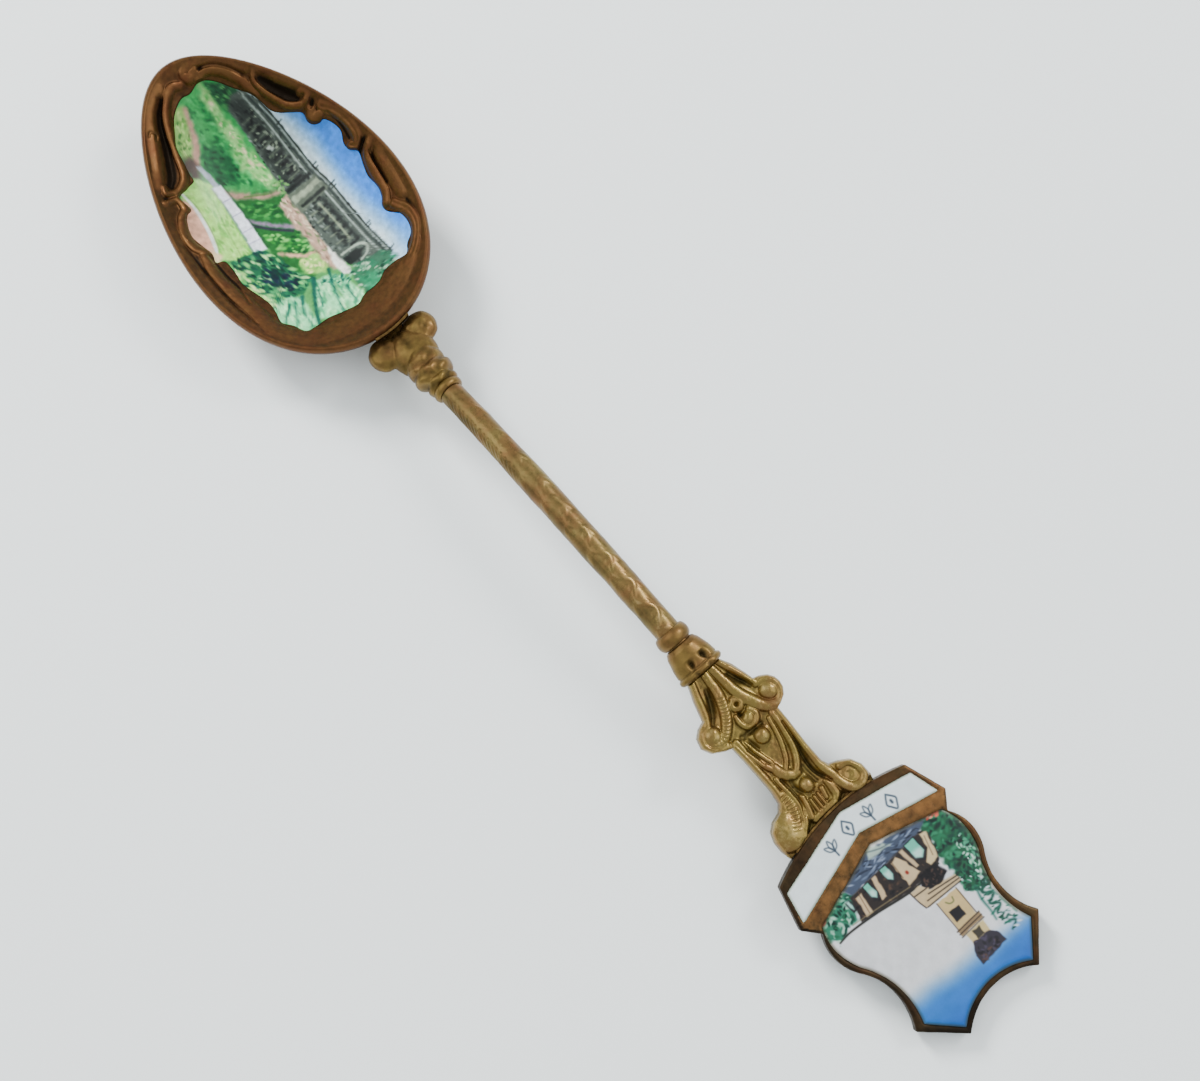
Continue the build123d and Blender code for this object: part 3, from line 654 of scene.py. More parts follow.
        p.line([(19.3 + k * 1.0, 1.9), (19.35 + k * 1.0, 2.6)], "#8a9480", 0.08, 0.09, 0.7, 0.04, 80 + k)
    p.line([(24.5, 1.5, 0.1), (24.6, 2.6, 0.12), (24.9, 3.6, 0.14), (25.5, 3.95, 0.13), (26.1, 3.5, 0.1),
            (26.3, 2.6, 0.08)],
           "#a7b2a4", edge=0.08, strength=0.9)
    p.fill([(24.9, 1.4), (25.0, 3.0), (25.5, 3.5), (26.0, 2.8), (26.0, 1.4)], "#1d2422", 0.12, 0.1, 0.85, 35)
    p.dabs([(14.2, 2.1), (15.6, 2.2), (15.9, 0.9), (14.5, 0.9)], ["#77a468", "#4a7a4c", "#9ab884"], 24, 0.15,
           36)
    p.dabs([(7.0, 3.2), (7.4, 4.2), (15.4, 3.9), (15.6, 2.4), (9.6, 2.6)], ["#101413", "#5f6a5c", "#8c9686"],
           60, 0.12, 37, 1.5)
    p.dabs([(11.0, 3.0), (11.3, 3.6), (12.0, 3.4), (11.8, 2.9)], ["#8f9a92", "#aeb6ae"], 8, 0.15, 38)
    # Trees at the right end.
    right = [(26.2, 1.2), (26.6, 3.4), (27.4, 4.9), (29.0, 5.2), (29.2, 3.0), (29.6, 0.9), (27.8, 0.6)]
    p.fill(right, "#3f6f58", 0.2, 0.3, 0.9, 39)
    p.dabs(right, ["#1f4a3c", "#5f8f74", "#86a98f", "#2f7a5e", "#b4c8b0"], 90, 0.15, 40, 1.2)
    p.fill([(27.9, 1.2), (28.2, 2.6), (29.2, 2.6), (29.6, 1.0)], "#2b8a66", 0.3, 0.3, 0.8, 41)
    # Foreground: grass, a balustrade, a light path, bushes and palm leaves.
    strip = [(9.5, -5.9), (9.5, -4.6), (10.8, -3.6), (13.6, -4.1), (16.8, -4.7), (19.1, -5.1), (18.7, -6.7),
             (17.6, -8.0), (14.6, -7.2),
             (12.2, -6.6), (10.6, -7.0)]
    p.fill(strip, "#a9d87c", 0.15, 0.1, seed=42)
    p.dabs(strip, ["#8cc766", "#c0e392", "#7dbb5e", "#a3cf70", "#6aa550"], 90, 0.2, 43, -0.2, 2.6, 0.6)
    p.line([(9.6, -4.9), (12.0, -4.6), (15.0, -5.4), (18.6, -6.2)], "#6fa14f", 0.05, 0.1, 0.6)
    p.fill([(10.6, -6.9), (12.2, -6.5), (14.4, -6.8), (16.4, -7.6), (17.6, -8.7), (15.1, -8.9), (13.0, -8.5),
            (11.6, -7.4)],
           "#d8b09a", 0.12, 0.08, seed=44)
    p.speckle(0.05, 0.5, 45, [(10.6, -6.9), (14.4, -6.8), (17.6, -8.7), (13.0, -8.5)])
    p.line([(10.3, -6.6, 0.1), (12.1, -6.55, 0.14), (14.4, -6.95, 0.17), (16.4, -7.6, 0.16),
            (17.4, -8.2, 0.1)], "#dfe4e0", edge=0.08)
    p.line([(10.5, -6.35), (12.2, -6.3), (14.6, -6.72), (16.7, -7.4)], "#7d8f70", 0.035, 0.07, 0.8)
    p.fill([(16.4, -8.0), (17.3, -7.6), (17.9, -8.3), (17.5, -8.8)], "#dcc9a4", 0.15, 0.1, seed=46)
    rail = [(11.1, -3.85), (11.3, -2.95), (13.6, -3.05), (16.4, -3.3), (19.1, -3.65), (18.8, -4.9),
            (16.6, -4.5), (13.4, -4.0)]
    p.fill([(8.7, -3.7), (8.8, -3.2), (11.2, -3.05), (11.2, -3.6)], "#aab0b8", 0.1, 0.08, seed=47)
    p.fill(rail, "#dfe3ea", 0.1, 0.06, seed=48)
    for a, b in (((12.8, -3.95), (12.9, -2.95)), ((14.5, -4.2), (14.6, -3.1)), ((16.4, -4.5), (16.5, -3.2)),
                 ((17.7, -4.7), (17.9, -3.4))):
        p.line([a, b], "#a7a7b8", 0.06, 0.07, 0.85)
    p.line([(11.1, -3.9), (13.4, -4.1), (16.6, -4.6), (18.8, -5.0)], "#8d93a0", 0.06, 0.1, 0.7)
    p.line([(11.2, -2.85), (13.6, -2.95), (16.4, -3.15), (19.0, -3.5)], "#3d5a44", 0.07, 0.1, 0.75)
    bush = [(18.4, -6.9), (18.6, -5.2), (19.2, -3.9), (21.1, -3.3), (23.4, -2.6), (24.5, -2.1), (24.9, -3.7),
            (25.7, -5.7), (25.2, -7.4),
            (23.0, -7.7), (20.3, -8.1), (18.4, -7.9)]
    p.fill(bush, "#2a6a4e", 0.15, 0.25, seed=49)
    p.dabs(bush, ["#1f5a49", "#2d7a5c", "#8cc47e", "#173f36", "#56a06c", "#b2d69a", "#1d4c48"], 230, 0.2, 50,
           0.5, 2.4)
    p.dabs([(20.6, -5.0), (23.8, -3.2), (24.2, -4.6), (22.0, -6.2)], ["#1c2c3c", "#22364a", "#16383a"], 34,
           0.22, 51, 0.4, 2.2)
    p.dabs([(18.4, -7.6), (21.2, -6.6), (24.8, -6.8), (24.8, -7.6), (20.6, -8.0)],
           ["#a9cf84", "#6fae68", "#cfe0a0"], 44, 0.2, 52, 0.2)
    for leaf in ([(24.6, -5.6), (25.3, -4.3), (28.9, -4.9), (29.2, -6.4), (27.6, -7.1), (26.4, -7.8),
                  (25.0, -7.5)],
                 [(24.8, -2.3), (25.3, -0.6), (29.6, -1.9), (29.4, -3.2), (28.7, -4.4), (26.6, -3.6)],
                 [(25.6, -0.6), (26.2, 0.3), (29.5, 0.4), (29.8, -0.8), (29.6, -1.8)]):
        p.fill(leaf, "#8fcfa0", 0.15, 0.12, seed=53)
        p.dabs(leaf, ["#6cb88a", "#b4e6b4", "#459a70", "#9cd6a8", "#3a8a68"], 60, 0.16, 54, -0.45, 3.4, 0.75)
    for route in ([(24.6, -2.2, 0.25), (26.4, -3.5, 0.2), (28.9, -4.9, 0.22)],
                  [(24.8, -0.5, 0.16), (27.0, -1.4, 0.1), (29.6, -2.3, 0.1)],
                  [(25.4, -4.3, 0.2), (27.0, -5.2, 0.07), (28.9, -5.5, 0.05)],
                  [(25.4, -5.2, 0.08), (27.6, -6.4, 0.05)],
                  [(25.9, -2.6, 0.1), (27.6, -3.4, 0.06)], [(26.6, -0.1, 0.12), (29.6, -0.6, 0.08)],
                  [(25.4, -5.8, 0.14), (26.8, -7.3, 0.06)]):
        p.line(route, "#1f5e55", edge=0.1, strength=0.9, wobble=0.05)
    p.dabs([(25.0, -2.4), (26.2, 0.6), (27.6, 0.8), (27.0, -0.6)], ["#1f5e55", "#7cc79a", "#2f7a66"], 26,
           0.16, 55)
    p.speckle(0.07, 0.35, 56)
    return p.colour


def bowl_enamel(enamel):
    """The picture fired into the bowl."""
    across, along = 210, 400
    bm, u, v = sheet(across, along)
    angle = v * 2 * math.pi - math.pi
    picture = reach_of(smooth_line(PICTURE_EDGE, 8, closed=True), angle)
    at = BOWL_CENTRE + np.c_[np.cos(angle), np.sin(angle)] * ((picture + 0.02) * u)[:, None]
    height = dish(at[:, 0], at[:, 1], 0.15, 5.05, 0.948) - 0.05
    points = in_row(BOWL, np.c_[at, height])
    return shape(
        bm, "bowl_picture_enamel", points, enamel, ["bowl_enamel"],
        picture=palace_and_garden(at),
    )


# ---------------------------------------------------------------- shield


def three_point_arc(a, m, b, steps=24):
    """Points on the circle through three points, without the last."""
    (ax, ay), (mx, my), (bx, by) = a, m, b
    d = 2 * (ax * (my - by) + mx * (by - ay) + bx * (ay - my))
    cx = ((ax * ax + ay * ay) * (my - by) + (mx * mx + my * my) * (by - ay)
          + (bx * bx + by * by) * (ay - my)) / d
    cy = ((ax * ax + ay * ay) * (bx - mx) + (mx * mx + my * my) * (ax - bx)
          + (bx * bx + by * by) * (mx - ax)) / d
    radius = math.hypot(ax - cx, ay - cy)
    first, middle, last = (math.atan2(y - cy, x - cx) for x, y in (a, m, b))
    turn = (last - first) % (2 * math.pi)
    if (middle - first) % (2 * math.pi) > turn:
        turn -= 2 * math.pi
    angle = first + turn * np.linspace(0, 1, steps, endpoint=False)
    return np.c_[cx + radius * np.cos(angle), cy + radius * np.sin(angle)]


SHIELD_SIDE = [
    three_point_arc((1.65, -8.2), (0, 0), (1.65, 8.2), 60), [(1.65, 8.2), (5.9, 9.5)],
    three_point_arc((7.5, 8.2), (9.8, 8.95), (12.4, 8.25)), three_point_arc((12.4, 8.25), (16.0, 7.0),
        (19.95, 8.1)),
    [(19.95, 8.1)], three_point_arc((23.7, 4.5), (22.0, 0), (23.7, -4.5), 40),
]
BED_SIDE = [
    [(4.65, 0)], three_point_arc((7.0, 7.8), (9.6, 8.38), (12.2, 7.72)),
    three_point_arc((12.2, 7.72), (16.2, 6.42), (19.95, 7.05)), [(19.95, 7.05)],
    three_point_arc((22.9, 4.42), (21.35, 0), (22.9, -4.42), 40),
]


def both_sides(runs, first):
    """A closed outline from one side's runs and their mirrored copies; runs before "first" cross the middle."""
    upper = [np.asarray(run, float) for run in runs]
    lower = [run[::-1] * (1, -1) for run in upper[first:-1]][::-1]
    return np.vstack(upper + [upper[-1][:1] * (1, -1)] + lower)


SHIELD_OUTLINE = both_sides(SHIELD_SIDE, 1)
APEX = 0.7               # the ribbon's bend lies a little to one side
BED_OUTLINE = both_sides(BED_SIDE, 0)[:-1]
BED_OUTLINE[np.argmin(np.hypot(BED_OUTLINE[:, 0] - 4.65, BED_OUTLINE[:, 1]))] = (4.65, APEX)
RIBBON_OUTLINE = np.array([(0.5, APEX), (2.45, 8.1), (5.65, 8.9), (3.25, APEX), (5.65, -8.9), (2.45, -8.1)])


def cut_plate(outlines, thickness, rounding, level):
    """A plate with holes and rounded edges, as a curve turned to a mesh. Its middle lies at a level."""
    curve = bpy.data.curves.new("plate", "CURVE")
    curve.dimensions = "2D"
    curve.fill_mode = "BOTH"
    curve.extrude = thickness / 2 - rounding
    curve.bevel_depth = rounding
    curve.offset = -rounding
    curve.bevel_resolution = 3
    for outline in outlines:
        spline = curve.splines.new("POLY")
        spline.points.add(len(outline) - 1)
        spline.points.foreach_set("co", np.c_[outline, np.zeros(len(outline)), np.ones(len(outline))].ravel())
        spline.use_cyclic_u = True
    carrier = bpy.data.objects.new("plate", curve)
    mesh = bpy.data.meshes.new_from_object(carrier)
    bpy.data.objects.remove(carrier)
    bpy.data.curves.remove(curve)
    bm = bmesh.new()
    bm.from_mesh(mesh)
    bpy.data.meshes.remove(mesh)
    bmesh.ops.translate(bm, verts=bm.verts, vec=(0, 0, level))
    return bm


def remeshed(parts, voxel):
    """Joins closed bmeshes into one even skin, and gives its mesh."""
    mesh = bpy.data.meshes.new("skin")
    joined = bmesh.new()
    for part in parts:
        part.to_mesh(mesh)
        joined.from_mesh(mesh)
        part.free()
    joined.to_mesh(mesh)
    joined.free()
    carrier = bpy.data.objects.new("skin", mesh)
    bpy.context.scene.collection.objects.link(carrier)
    modifier = carrier.modifiers.new("even", "REMESH")
    modifier.mode = "VOXEL"
    modifier.voxel_size = voxel
    done = bpy.data.meshes.new_from_object(carrier.evaluated_get(bpy.context.evaluated_depsgraph_get()))
    bpy.data.objects.remove(carrier)
    bpy.data.meshes.remove(mesh)
    return done


def skin_points(mesh):
    points = np.empty(len(mesh.vertices) * 3, np.float32)
    mesh.vertices.foreach_get("co", points)
    normals = np.empty(len(mesh.vertices) * 3, np.float32)
    mesh.vertex_normals.foreach_get("vector", normals)
    return points.reshape(-1, 3).astype(float), normals.reshape(-1, 3).astype(float)


def skin_piece(name, mesh, points, material, nodes, marks):
    bm = bmesh.new()
    bm.from_mesh(mesh)
    bpy.data.meshes.remove(mesh)
    return shape(bm, name, points, material, nodes, marks)


def shield_plate(brass):
    """The plate: rounded rims round two beds, a wider bar between them, and a plain back."""
    rims = cut_plate([SHIELD_OUTLINE, RIBBON_OUTLINE[::-1], BED_OUTLINE[::-1]], 1.58, 0.24, 0.0)
    floor = cut_plate([SHIELD_OUTLINE], 0.8, 0.2, -0.39)
    mesh = remeshed([rims, floor], 0.115)
    p, normal = skin_points(mesh)
    at = p[:, :2]
    x, y = at.T
    bar = (x > 3.0 + 0.2 * np.abs(y)) & (x < 6.6 + 0.1 * np.abs(y)) & (np.abs(y) < 9.4)
    wobble = 0.05 * (grain(at, 1.6, 70) - 0.5) + 0.02 * (grain(at, 0.4, 71) - 0.5)
    p = p + normal * wobble[:, None] * (p[:, 2:] > -0.5)
    gap = -edge_distance(at, SHIELD_OUTLINE)
    # Lighter towards +y and on the bar between the beds, darker towards the far end.
    marks = 0.42 + 0.22 * np.clip(y / 9, -1, 1) + 0.25 * (grain(at, 1.3, 72) - 0.5)
    marks = np.where(bar & (gap > 0.3), 0.78 + 0.25 * (grain(at, 0.9, 73) - 0.5), marks)
    marks -= 0.3 * np.clip((x - 20) / 3, 0, 1)
    # Painted shade: the plate's walls, from 0.1 mm below to 0.35 mm above its middle, are darkened.
    marks -= 0.35 * (p[:, 2] < 0.35) * (p[:, 2] > -0.1)
    return skin_piece("shield_brass_plate", mesh, in_row(SHIELD, p), brass, ["shield_plate"],
                      marks)


def ribbon_ornaments(at):
    """White enamel with four small painted ornaments: lozenges and sprigs in turn."""
    p = Painting(at, "#d3dadb")
    ink = "#48545f"
    for x, y, kind in ((3.2, 4.9, 0), (2.5, 2.6, 1), (2.1, 0.2, 0), (2.5, -2.1, 1)):
        if kind == 0:
            p.line([(x - 0.85, y), (x - 0.4, y + 0.34), (x, y + 0.55), (x + 0.4, y + 0.34), (x + 0.85, y),
                    (x + 0.4, y - 0.34),
                    (x, y - 0.55), (x - 0.4, y - 0.34), (x - 0.85, y)], ink, 0.085, 0.07, 0.95)
            p.line([(x - 0.12, y), (x + 0.12, y)], ink, 0.13, 0.08, 0.95)
        else:
            for turn in (-0.95, 0.0, 0.95):
                tip = (x - 0.85 * math.cos(turn), y + 0.8 * math.sin(turn))
                side = (0.2 * math.sin(turn), 0.2 * math.cos(turn))
                half = ((tip[0] + x + 0.3) / 2, (tip[1] + y) / 2)
                p.line([(x + 0.3, y), (half[0] + side[0], half[1] + side[1]), tip,
                        (half[0] - side[0], half[1] - side[1]), (x + 0.3, y)],
                       ink, 0.065, 0.07, 0.9)
            p.line([(x + 0.3, y), (x + 0.85, y)], ink, 0.085, 0.07, 0.95)
    edge = -edge_distance(at, RIBBON_OUTLINE)
    p.lay(0.6 * np.clip(1 - edge / 0.32, 0, 1), hex_rgb("#7c8a6c"))
    p.speckle(0.015, 0.8, 74)
    return p.colour


def ribbon_enamel(enamel):
    bm, u, v = sheet(50, 300)
    side, s = np.sign(v - 0.5), np.abs(2 * v - 1)
    upper = np.c_[0.5 + 1.95 * s, APEX * (1 - s) + 8.1 * s * side]
    lower = np.c_[3.25 + 2.4 * s, APEX * (1 - s) + 8.9 * s * side]
    reach = (u * 1.04 - 0.02)[:, None]
    at = upper + (lower - upper) * reach
    edge = np.clip(-edge_distance(at, RIBBON_OUTLINE) / 0.4, 0, 1)
    height = 0.64 + 0.10 * edge * (2 - edge)
    points = in_row(SHIELD, np.c_[at, height])
    return shape(bm, "ribbon_white_enamel", points, enamel, ["ribbon_enamel"],
                 picture=ribbon_ornaments(at),
                 skirt=0.0004)


BED_HALF = np.array([
    (6.9, 7.75), (7.0, 7.8), (7.7, 8.15), (8.6, 8.36), (9.6, 8.38), (10.5, 8.27), (11.4, 8.03), (12.2, 7.72),
    (13.2, 7.15),
    (14.4, 6.7), (15.4, 6.48), (16.2, 6.42), (17.2, 6.44), (18.2, 6.56), (19.1, 6.77), (19.95, 7.05),
    (22.9, 4.42), (23.4, 3.95),
])


def tower_and_arcade(at):
    """A made-up view lying on its side: an arcaded pavilion, a tall tower, trees and a deepening sky."""
    metal_edge = -edge_distance(at, BED_OUTLINE)
    at = at + (0.0, 0.2)
    p = Painting(at, "#c9cacc")
    x, y = at.T
    bend = x - (16.6 + 0.17 * (y + 4.9) - 0.004 * (y + 4.9) ** 2) + 0.5 * (grain(at, 2.0, 80) - 0.5)
    tone = np.clip(bend / 3.0, 0, 1)
    tone = tone * tone * (3 - 2 * tone)
    p.lay(tone, hex_rgb("#3878b2"))
    p.lay(0.8 * np.clip((x - 20.0) / 2.2, 0, 1) * np.clip(np.abs(y) / 4, 0.2, 1), hex_rgb("#2a67a6"))
    p.lay(0.25 * np.clip((10 - x) / 5, 0, 1) * np.clip((-y) / 8, 0, 1), hex_rgb("#d9d9d6"))
    # Trees.
    crown = [(6.0, 5.7), (6.4, 7.9), (7.4, 8.1), (8.4, 8.6), (10.1, 8.7), (12.0, 8.0), (13.9, 7.2),
             (15.2, 6.6), (15.0, 5.6), (13.6, 4.3),
             (12.1, 4.9), (9.8, 4.9), (8.3, 5.3), (7.2, 5.4)]
    p.fill(crown, "#2c6149", 0.15, 0.3, seed=81)
    p.dabs(crown, ["#173c34", "#2f7458", "#1f4d42", "#3f8568", "#122f2b"], 190, 0.2, 82)
    p.dabs([(10.0, 6.8), (9.6, 8.3), (12.0, 7.8), (14.6, 6.4), (13.6, 6.2), (12.0, 6.6)],
           ["#8fb8a4", "#c3d1c9", "#5a9a80", "#aac6b6"], 46, 0.13, 83)
    p.dabs([(12.4, 4.6), (13.2, 6.6), (15.2, 6.4), (14.4, 5.0)], ["#1d4438", "#2d6b52", "#c9cdd0", "#35735c"],
           44, 0.15, 84)
    p.line([(14.5, 6.3, 0.12), (15.1, 5.5, 0.14), (15.9, 6.2, 0.12), (16.3, 5.3, 0.14), (17.0, 6.0, 0.12),
            (17.5, 5.2, 0.12),
            (18.1, 6.1, 0.12), (18.5, 5.3, 0.12), (19.1, 6.0, 0.12), (19.5, 5.2, 0.09)], "#255248", edge=0.1,
            strength=0.9)
    p.line([(14.2, 5.4, 0.1), (15.5, 5.0, 0.12), (16.8, 4.9, 0.1), (17.8, 4.7, 0.08)], "#30655a", edge=0.12,
           strength=0.85)
    p.line([(15.4, 6.3, 0.08), (17.0, 6.4, 0.1), (18.6, 6.6, 0.08)], "#3a7263", edge=0.12, strength=0.8)
    p.dabs([(13.8, 5.0), (14.4, 6.6), (17.0, 6.3), (19.4, 6.6), (19.6, 5.4), (17.4, 4.9), (15.6, 4.7)],
           ["#24584a", "#1d4438", "#2f6a5c", "#c5cbd2"], 60, 0.13, 112, 1.2, 2.4, 0.85)
    low = [(6.2, -7.8), (6.0, -4.0), (7.0, -3.4), (8.6, -4.5), (8.8, -5.8), (9.3, -7.3), (8.2, -8.1)]
    p.fill(low, "#3f7a66", 0.15, 0.3, seed=85)
    p.dabs(low, ["#1f4d42", "#7fa894", "#2d6b52", "#a9c2b4", "#16362f"], 90, 0.17, 86)
    p.dabs([(6.0, -8.0), (6.1, -7.0), (6.9, -7.1), (7.0, -7.9)], ["#b8605a", "#a04a44"], 8, 0.2, 87)
    # The roof and the arcade's front.
    p.fill([(5.9, -4.0), (4.9, -0.6), (5.0, 0.6), (5.7, 4.2), (6.5, 6.3), (7.15, 4.6), (7.05, 1.6),
            (6.9, -1.2), (6.9, -3.6)], "#515a6a", 0.1, 0.1, seed=88)
    p.dabs([(6.0, -3.4), (5.1, -0.4), (5.9, 4.0), (6.6, 5.8), (6.9, 4.4), (6.8, -1.2)],
           ["#6f7b8e", "#3a4150", "#8792a4", "#2b303c"], 60, 0.11, 89, 1.45, 4.0)
    p.fill([(4.6, 0.3), (5.4, 1.7), (6.0, 2.2), (5.6, -0.3)], "#a9b8ae", 0.1, 0.1, 0.9, 90)
    p.line([(4.95, 0.1), (5.6, 1.4), (5.9, 2.6)], "#4d5a62", 0.05, 0.08, 0.8)
    wall = [(6.9, -3.9), (7.0, 5.3), (7.6, 5.6), (10.1, 4.7), (10.5, 3.9), (10.4, 1.0), (9.6, -3.0),
            (9.2, -4.6), (8.6, -4.4)]
    p.fill(wall, "#3a3432", 0.1, 0.08, seed=91)
    p.dabs(wall, ["#2c2a2e", "#5a4a40", "#463c36", "#1d1b1e"], 90, 0.14, 92)
    p.fill([(7.15, 1.75), (8.1, 2.15), (9.7, 2.6), (9.9, 0.95), (8.2, 1.0), (7.3, 1.1)], "#b9a98c", 0.08,
           0.08, seed=93)
    p.fill([(7.1, 4.85), (7.4, 5.55), (9.9, 4.75), (10.1, 3.7), (9.5, 3.6), (8.6, 4.6)], "#c0b190", 0.08,
           0.08, seed=94)
    for leg in ([(6.95, -1.25), (7.0, -0.75), (9.2, -1.25), (9.1, -1.8)],
                [(7.3, -3.5), (7.3, -2.85), (9.3, -3.2), (9.2, -3.95)],
                [(7.0, 2.3), (7.05, 2.75), (9.2, 2.9), (9.2, 2.55)]):
        p.fill(leg, "#b5a489", 0.08, 0.06, seed=95)
    for low_y, high_y, reach in ((3.0, 4.3, 9.2), (-0.25, 0.65, 8.75), (-2.45, -1.6, 8.9), (-4.6, -4.1, 8.2)):
        mid = (low_y + high_y) / 2
        p.fill([(6.9, low_y), (6.9, high_y), (reach - 0.6, high_y + 0.03), (reach - 0.1, mid + 0.18),
                (reach - 0.1, mid - 0.18), (reach - 0.6, low_y)],
               "#2d2c30", 0.06, 0.04, seed=96)
        p.fill([(7.0, low_y + 0.12), (7.0, high_y - 0.12), (reach - 0.7, high_y - 0.12), (reach - 0.3, mid),
                (reach - 0.7, low_y + 0.12)],
               "#6fae9d", 0.06, 0.04, seed=97)
        p.fill([(reach - 1.3, low_y + 0.15), (reach - 1.2, high_y - 0.15), (reach - 0.7, high_y - 0.15),
                (reach - 0.35, mid), (reach - 0.7, low_y + 0.15)],
               "#bcd2cb", 0.2, 0.05, 0.85, 98)
    p.line([(8.85, 1.6), (8.95, 1.6)], "#7d2f28", 0.14, 0.08, 0.9)
    for cut in ([(7.1, 1.2), (9.0, 1.0)], [(7.6, 5.1), (9.4, 4.5)], [(7.3, -3.1), (9.1, -3.5)]):
        p.line(cut, "#5d4d40", 0.035, 0.06, 0.8)
    # Eaves, cornices and the block under the tower.
    p.line([(10.35, 4.3, 0.1), (10.45, 1.0, 0.12), (9.6, -3.0, 0.12), (9.15, -6.0, 0.1), (9.2, -7.4, 0.08)],
           "#33322f", edge=0.08)
    p.line([(10.05, 0.9, 0.05), (9.25, -3.2, 0.05), (8.85, -5.4, 0.04)], "#8d8468", edge=0.07, strength=0.8)
    p.fill([(9.9, 2.2), (10.1, 4.2), (11.4, 4.4), (12.1, 3.2), (11.5, 1.9), (10.8, 1.75)], "#221f23", 0.1,
           0.12, seed=99)
    p.dabs([(10.0, 2.3), (10.2, 4.1), (11.4, 4.2), (11.4, 2.0)], ["#4a3c3a", "#18161a", "#5d4c44"], 26, 0.13,
           100)
    p.fill([(10.5, 0.4), (10.6, 1.5), (11.3, 2.1), (12.3, 1.7), (12.5, 0.7), (11.4, 0.5)], "#b9a98c", 0.08,
           0.08, seed=101)
    p.fill([(11.4, 1.5), (12.1, 4.8), (12.9, 4.8), (12.7, 1.0), (12.3, 0.6)], "#b3a386", 0.08, 0.06, seed=102)
    for a, b in (((11.7, 1.7), (12.35, 4.8)), ((12.1, 1.2), (12.65, 4.8)), ((12.55, 0.8), (12.95, 4.7)),
                 ((11.0, 0.6), (11.2, 1.9))):
        p.line([a, b], "#332f30", 0.06, 0.06, 0.9)
    p.line([(10.5, 0.45), (11.6, 0.5), (12.5, 0.65)], "#332f30", 0.06, 0.06, 0.85)
    # The tower and its flared roof.
    p.fill([(12.9, 1.6), (13.1, 3.95), (16.2, 3.75), (16.2, 1.45)], "#b8a67f", 0.08, 0.06, seed=103)
    p.line([(12.9, 1.6), (16.2, 1.4)], "#4a4038", 0.05, 0.06, 0.8)
    p.line([(13.1, 3.95), (16.2, 3.78)], "#4a4038", 0.05, 0.06, 0.8)
    p.fill([(14.25, 1.9), (14.4, 3.05), (15.5, 2.95), (15.4, 1.85)], "#26242a", 0.07, 0.05, seed=104)
    p.line([(13.4, 2.3), (13.75, 2.55), (13.8, 2.95), (13.45, 3.1)], "#5f6a4a", 0.06, 0.07, 0.9)
    p.fill([(16.0, 1.25), (16.1, 4.0), (16.75, 3.95), (16.75, 1.25)], "#8c7b62", 0.07, 0.05, seed=105)
    for at_x in (16.1, 16.45, 16.8):
        p.line([(at_x, 1.2), (at_x + 0.05, 4.0)], "#37302e", 0.05, 0.06, 0.9)
    p.fill([(16.85, 1.6), (16.9, 3.8), (18.4, 3.5), (18.4, 1.6)], "#b9ab84", 0.07, 0.05, seed=106)
    p.fill([(17.0, 2.3), (17.1, 3.1), (17.9, 3.0), (17.9, 2.2)], "#3d3a34", 0.07, 0.06, 0.9, 107)
    p.fill([(17.8, 1.7), (18.05, 3.5), (18.6, 4.0), (19.8, 4.15), (19.9, 0.95), (18.9, 0.95)], "#3e3a44",
           0.08, 0.08, seed=108)
    p.dabs([(17.9, 1.8), (18.6, 3.8), (19.7, 4.0), (19.8, 1.1), (18.9, 1.1)],
           ["#2c2a30", "#524c5c", "#221f26", "#5d4a44"], 36, 0.15, 109)
    # Pinkish light along the bar at the head.
    p.dabs([(5.9, 6.2), (6.2, 7.6), (7.2, 7.5), (6.8, 6.4)], ["#d06a5c", "#dd9a8a", "#b8483f"], 20, 0.18, 110,
           1.4)
    p.lay(0.6 * np.clip(1 - metal_edge / 0.3, 0, 1), hex_rgb("#57503c"))
    p.speckle(0.025, 0.7, 111)
    return p.colour


def shield_enamel(enamel):
    bm, u, v = sheet(230, 250)
    side, s = np.sign(v - 0.5), np.abs(2 * v - 1)
    near_y = side * s * 7.8
    near_x = 4.65 + 2.3 * np.abs(near_y - APEX) / np.where(near_y > APEX, 7.8 - APEX, 7.8 + APEX)
    far_x = 21.35 + 1.55 * s * s
    for _ in range(6):
        half = s * np.interp(far_x, *BED_HALF.T)
        far_x = 21.35 + 1.55 * np.clip(half / 4.42, 0, 1) ** 2
    x = near_x + (far_x - near_x) * (u * 1.01 - 0.005)
    y = side * s * np.interp(x, *BED_HALF.T) * 1.005
    at = np.c_[x, y]
    edge = np.clip(-edge_distance(at, BED_OUTLINE) / 0.6, 0, 1)
    height = 0.62 + 0.12 * edge * (2 - edge)
    points = in_row(SHIELD, np.c_[at, height])
    return shape(bm, "shield_picture_enamel", points, enamel, ["shield_enamel"],
                 picture=tower_and_arcade(at),
                 skirt=0.0004)


# ---------------------------------------------------------------- scroll panel

PANEL_UPPER = np.array([
    (4.3, 2.0), (4.8, 1.9), (5.2, 2.1), (6.1, 2.55), (7.5, 2.95), (8.4, 3.15), (8.62, 3.8), (9.0, 4.4),
    (9.6, 4.78), (10.2, 4.88),
    (10.8, 4.78), (11.4, 4.35), (11.75, 3.7), (11.95, 3.12), (13.5, 3.08), (16.1, 2.92), (18.3, 2.92),
    (19.05, 3.25),
    (19.35, 4.1), (19.9, 5.05), (20.8, 5.55), (21.9, 5.6), (23.2, 5.1),
])
PANEL_LOWER = np.array([
    (4.3, 2.0), (4.8, 1.9), (5.3, 2.05), (6.5, 2.55), (8.35, 3.1), (8.62, 3.9), (9.2, 4.6), (10.2, 4.88),
    (11.1, 4.45), (11.75, 3.4),
    (12.0, 2.68), (13.4, 2.62), (15.2, 2.6), (17.3, 2.6), (18.7, 2.8), (19.3, 3.35), (19.55, 4.4),
    (20.1, 5.15), (20.9, 5.5),
    (21.8, 5.55), (23.2, 5.2),
])
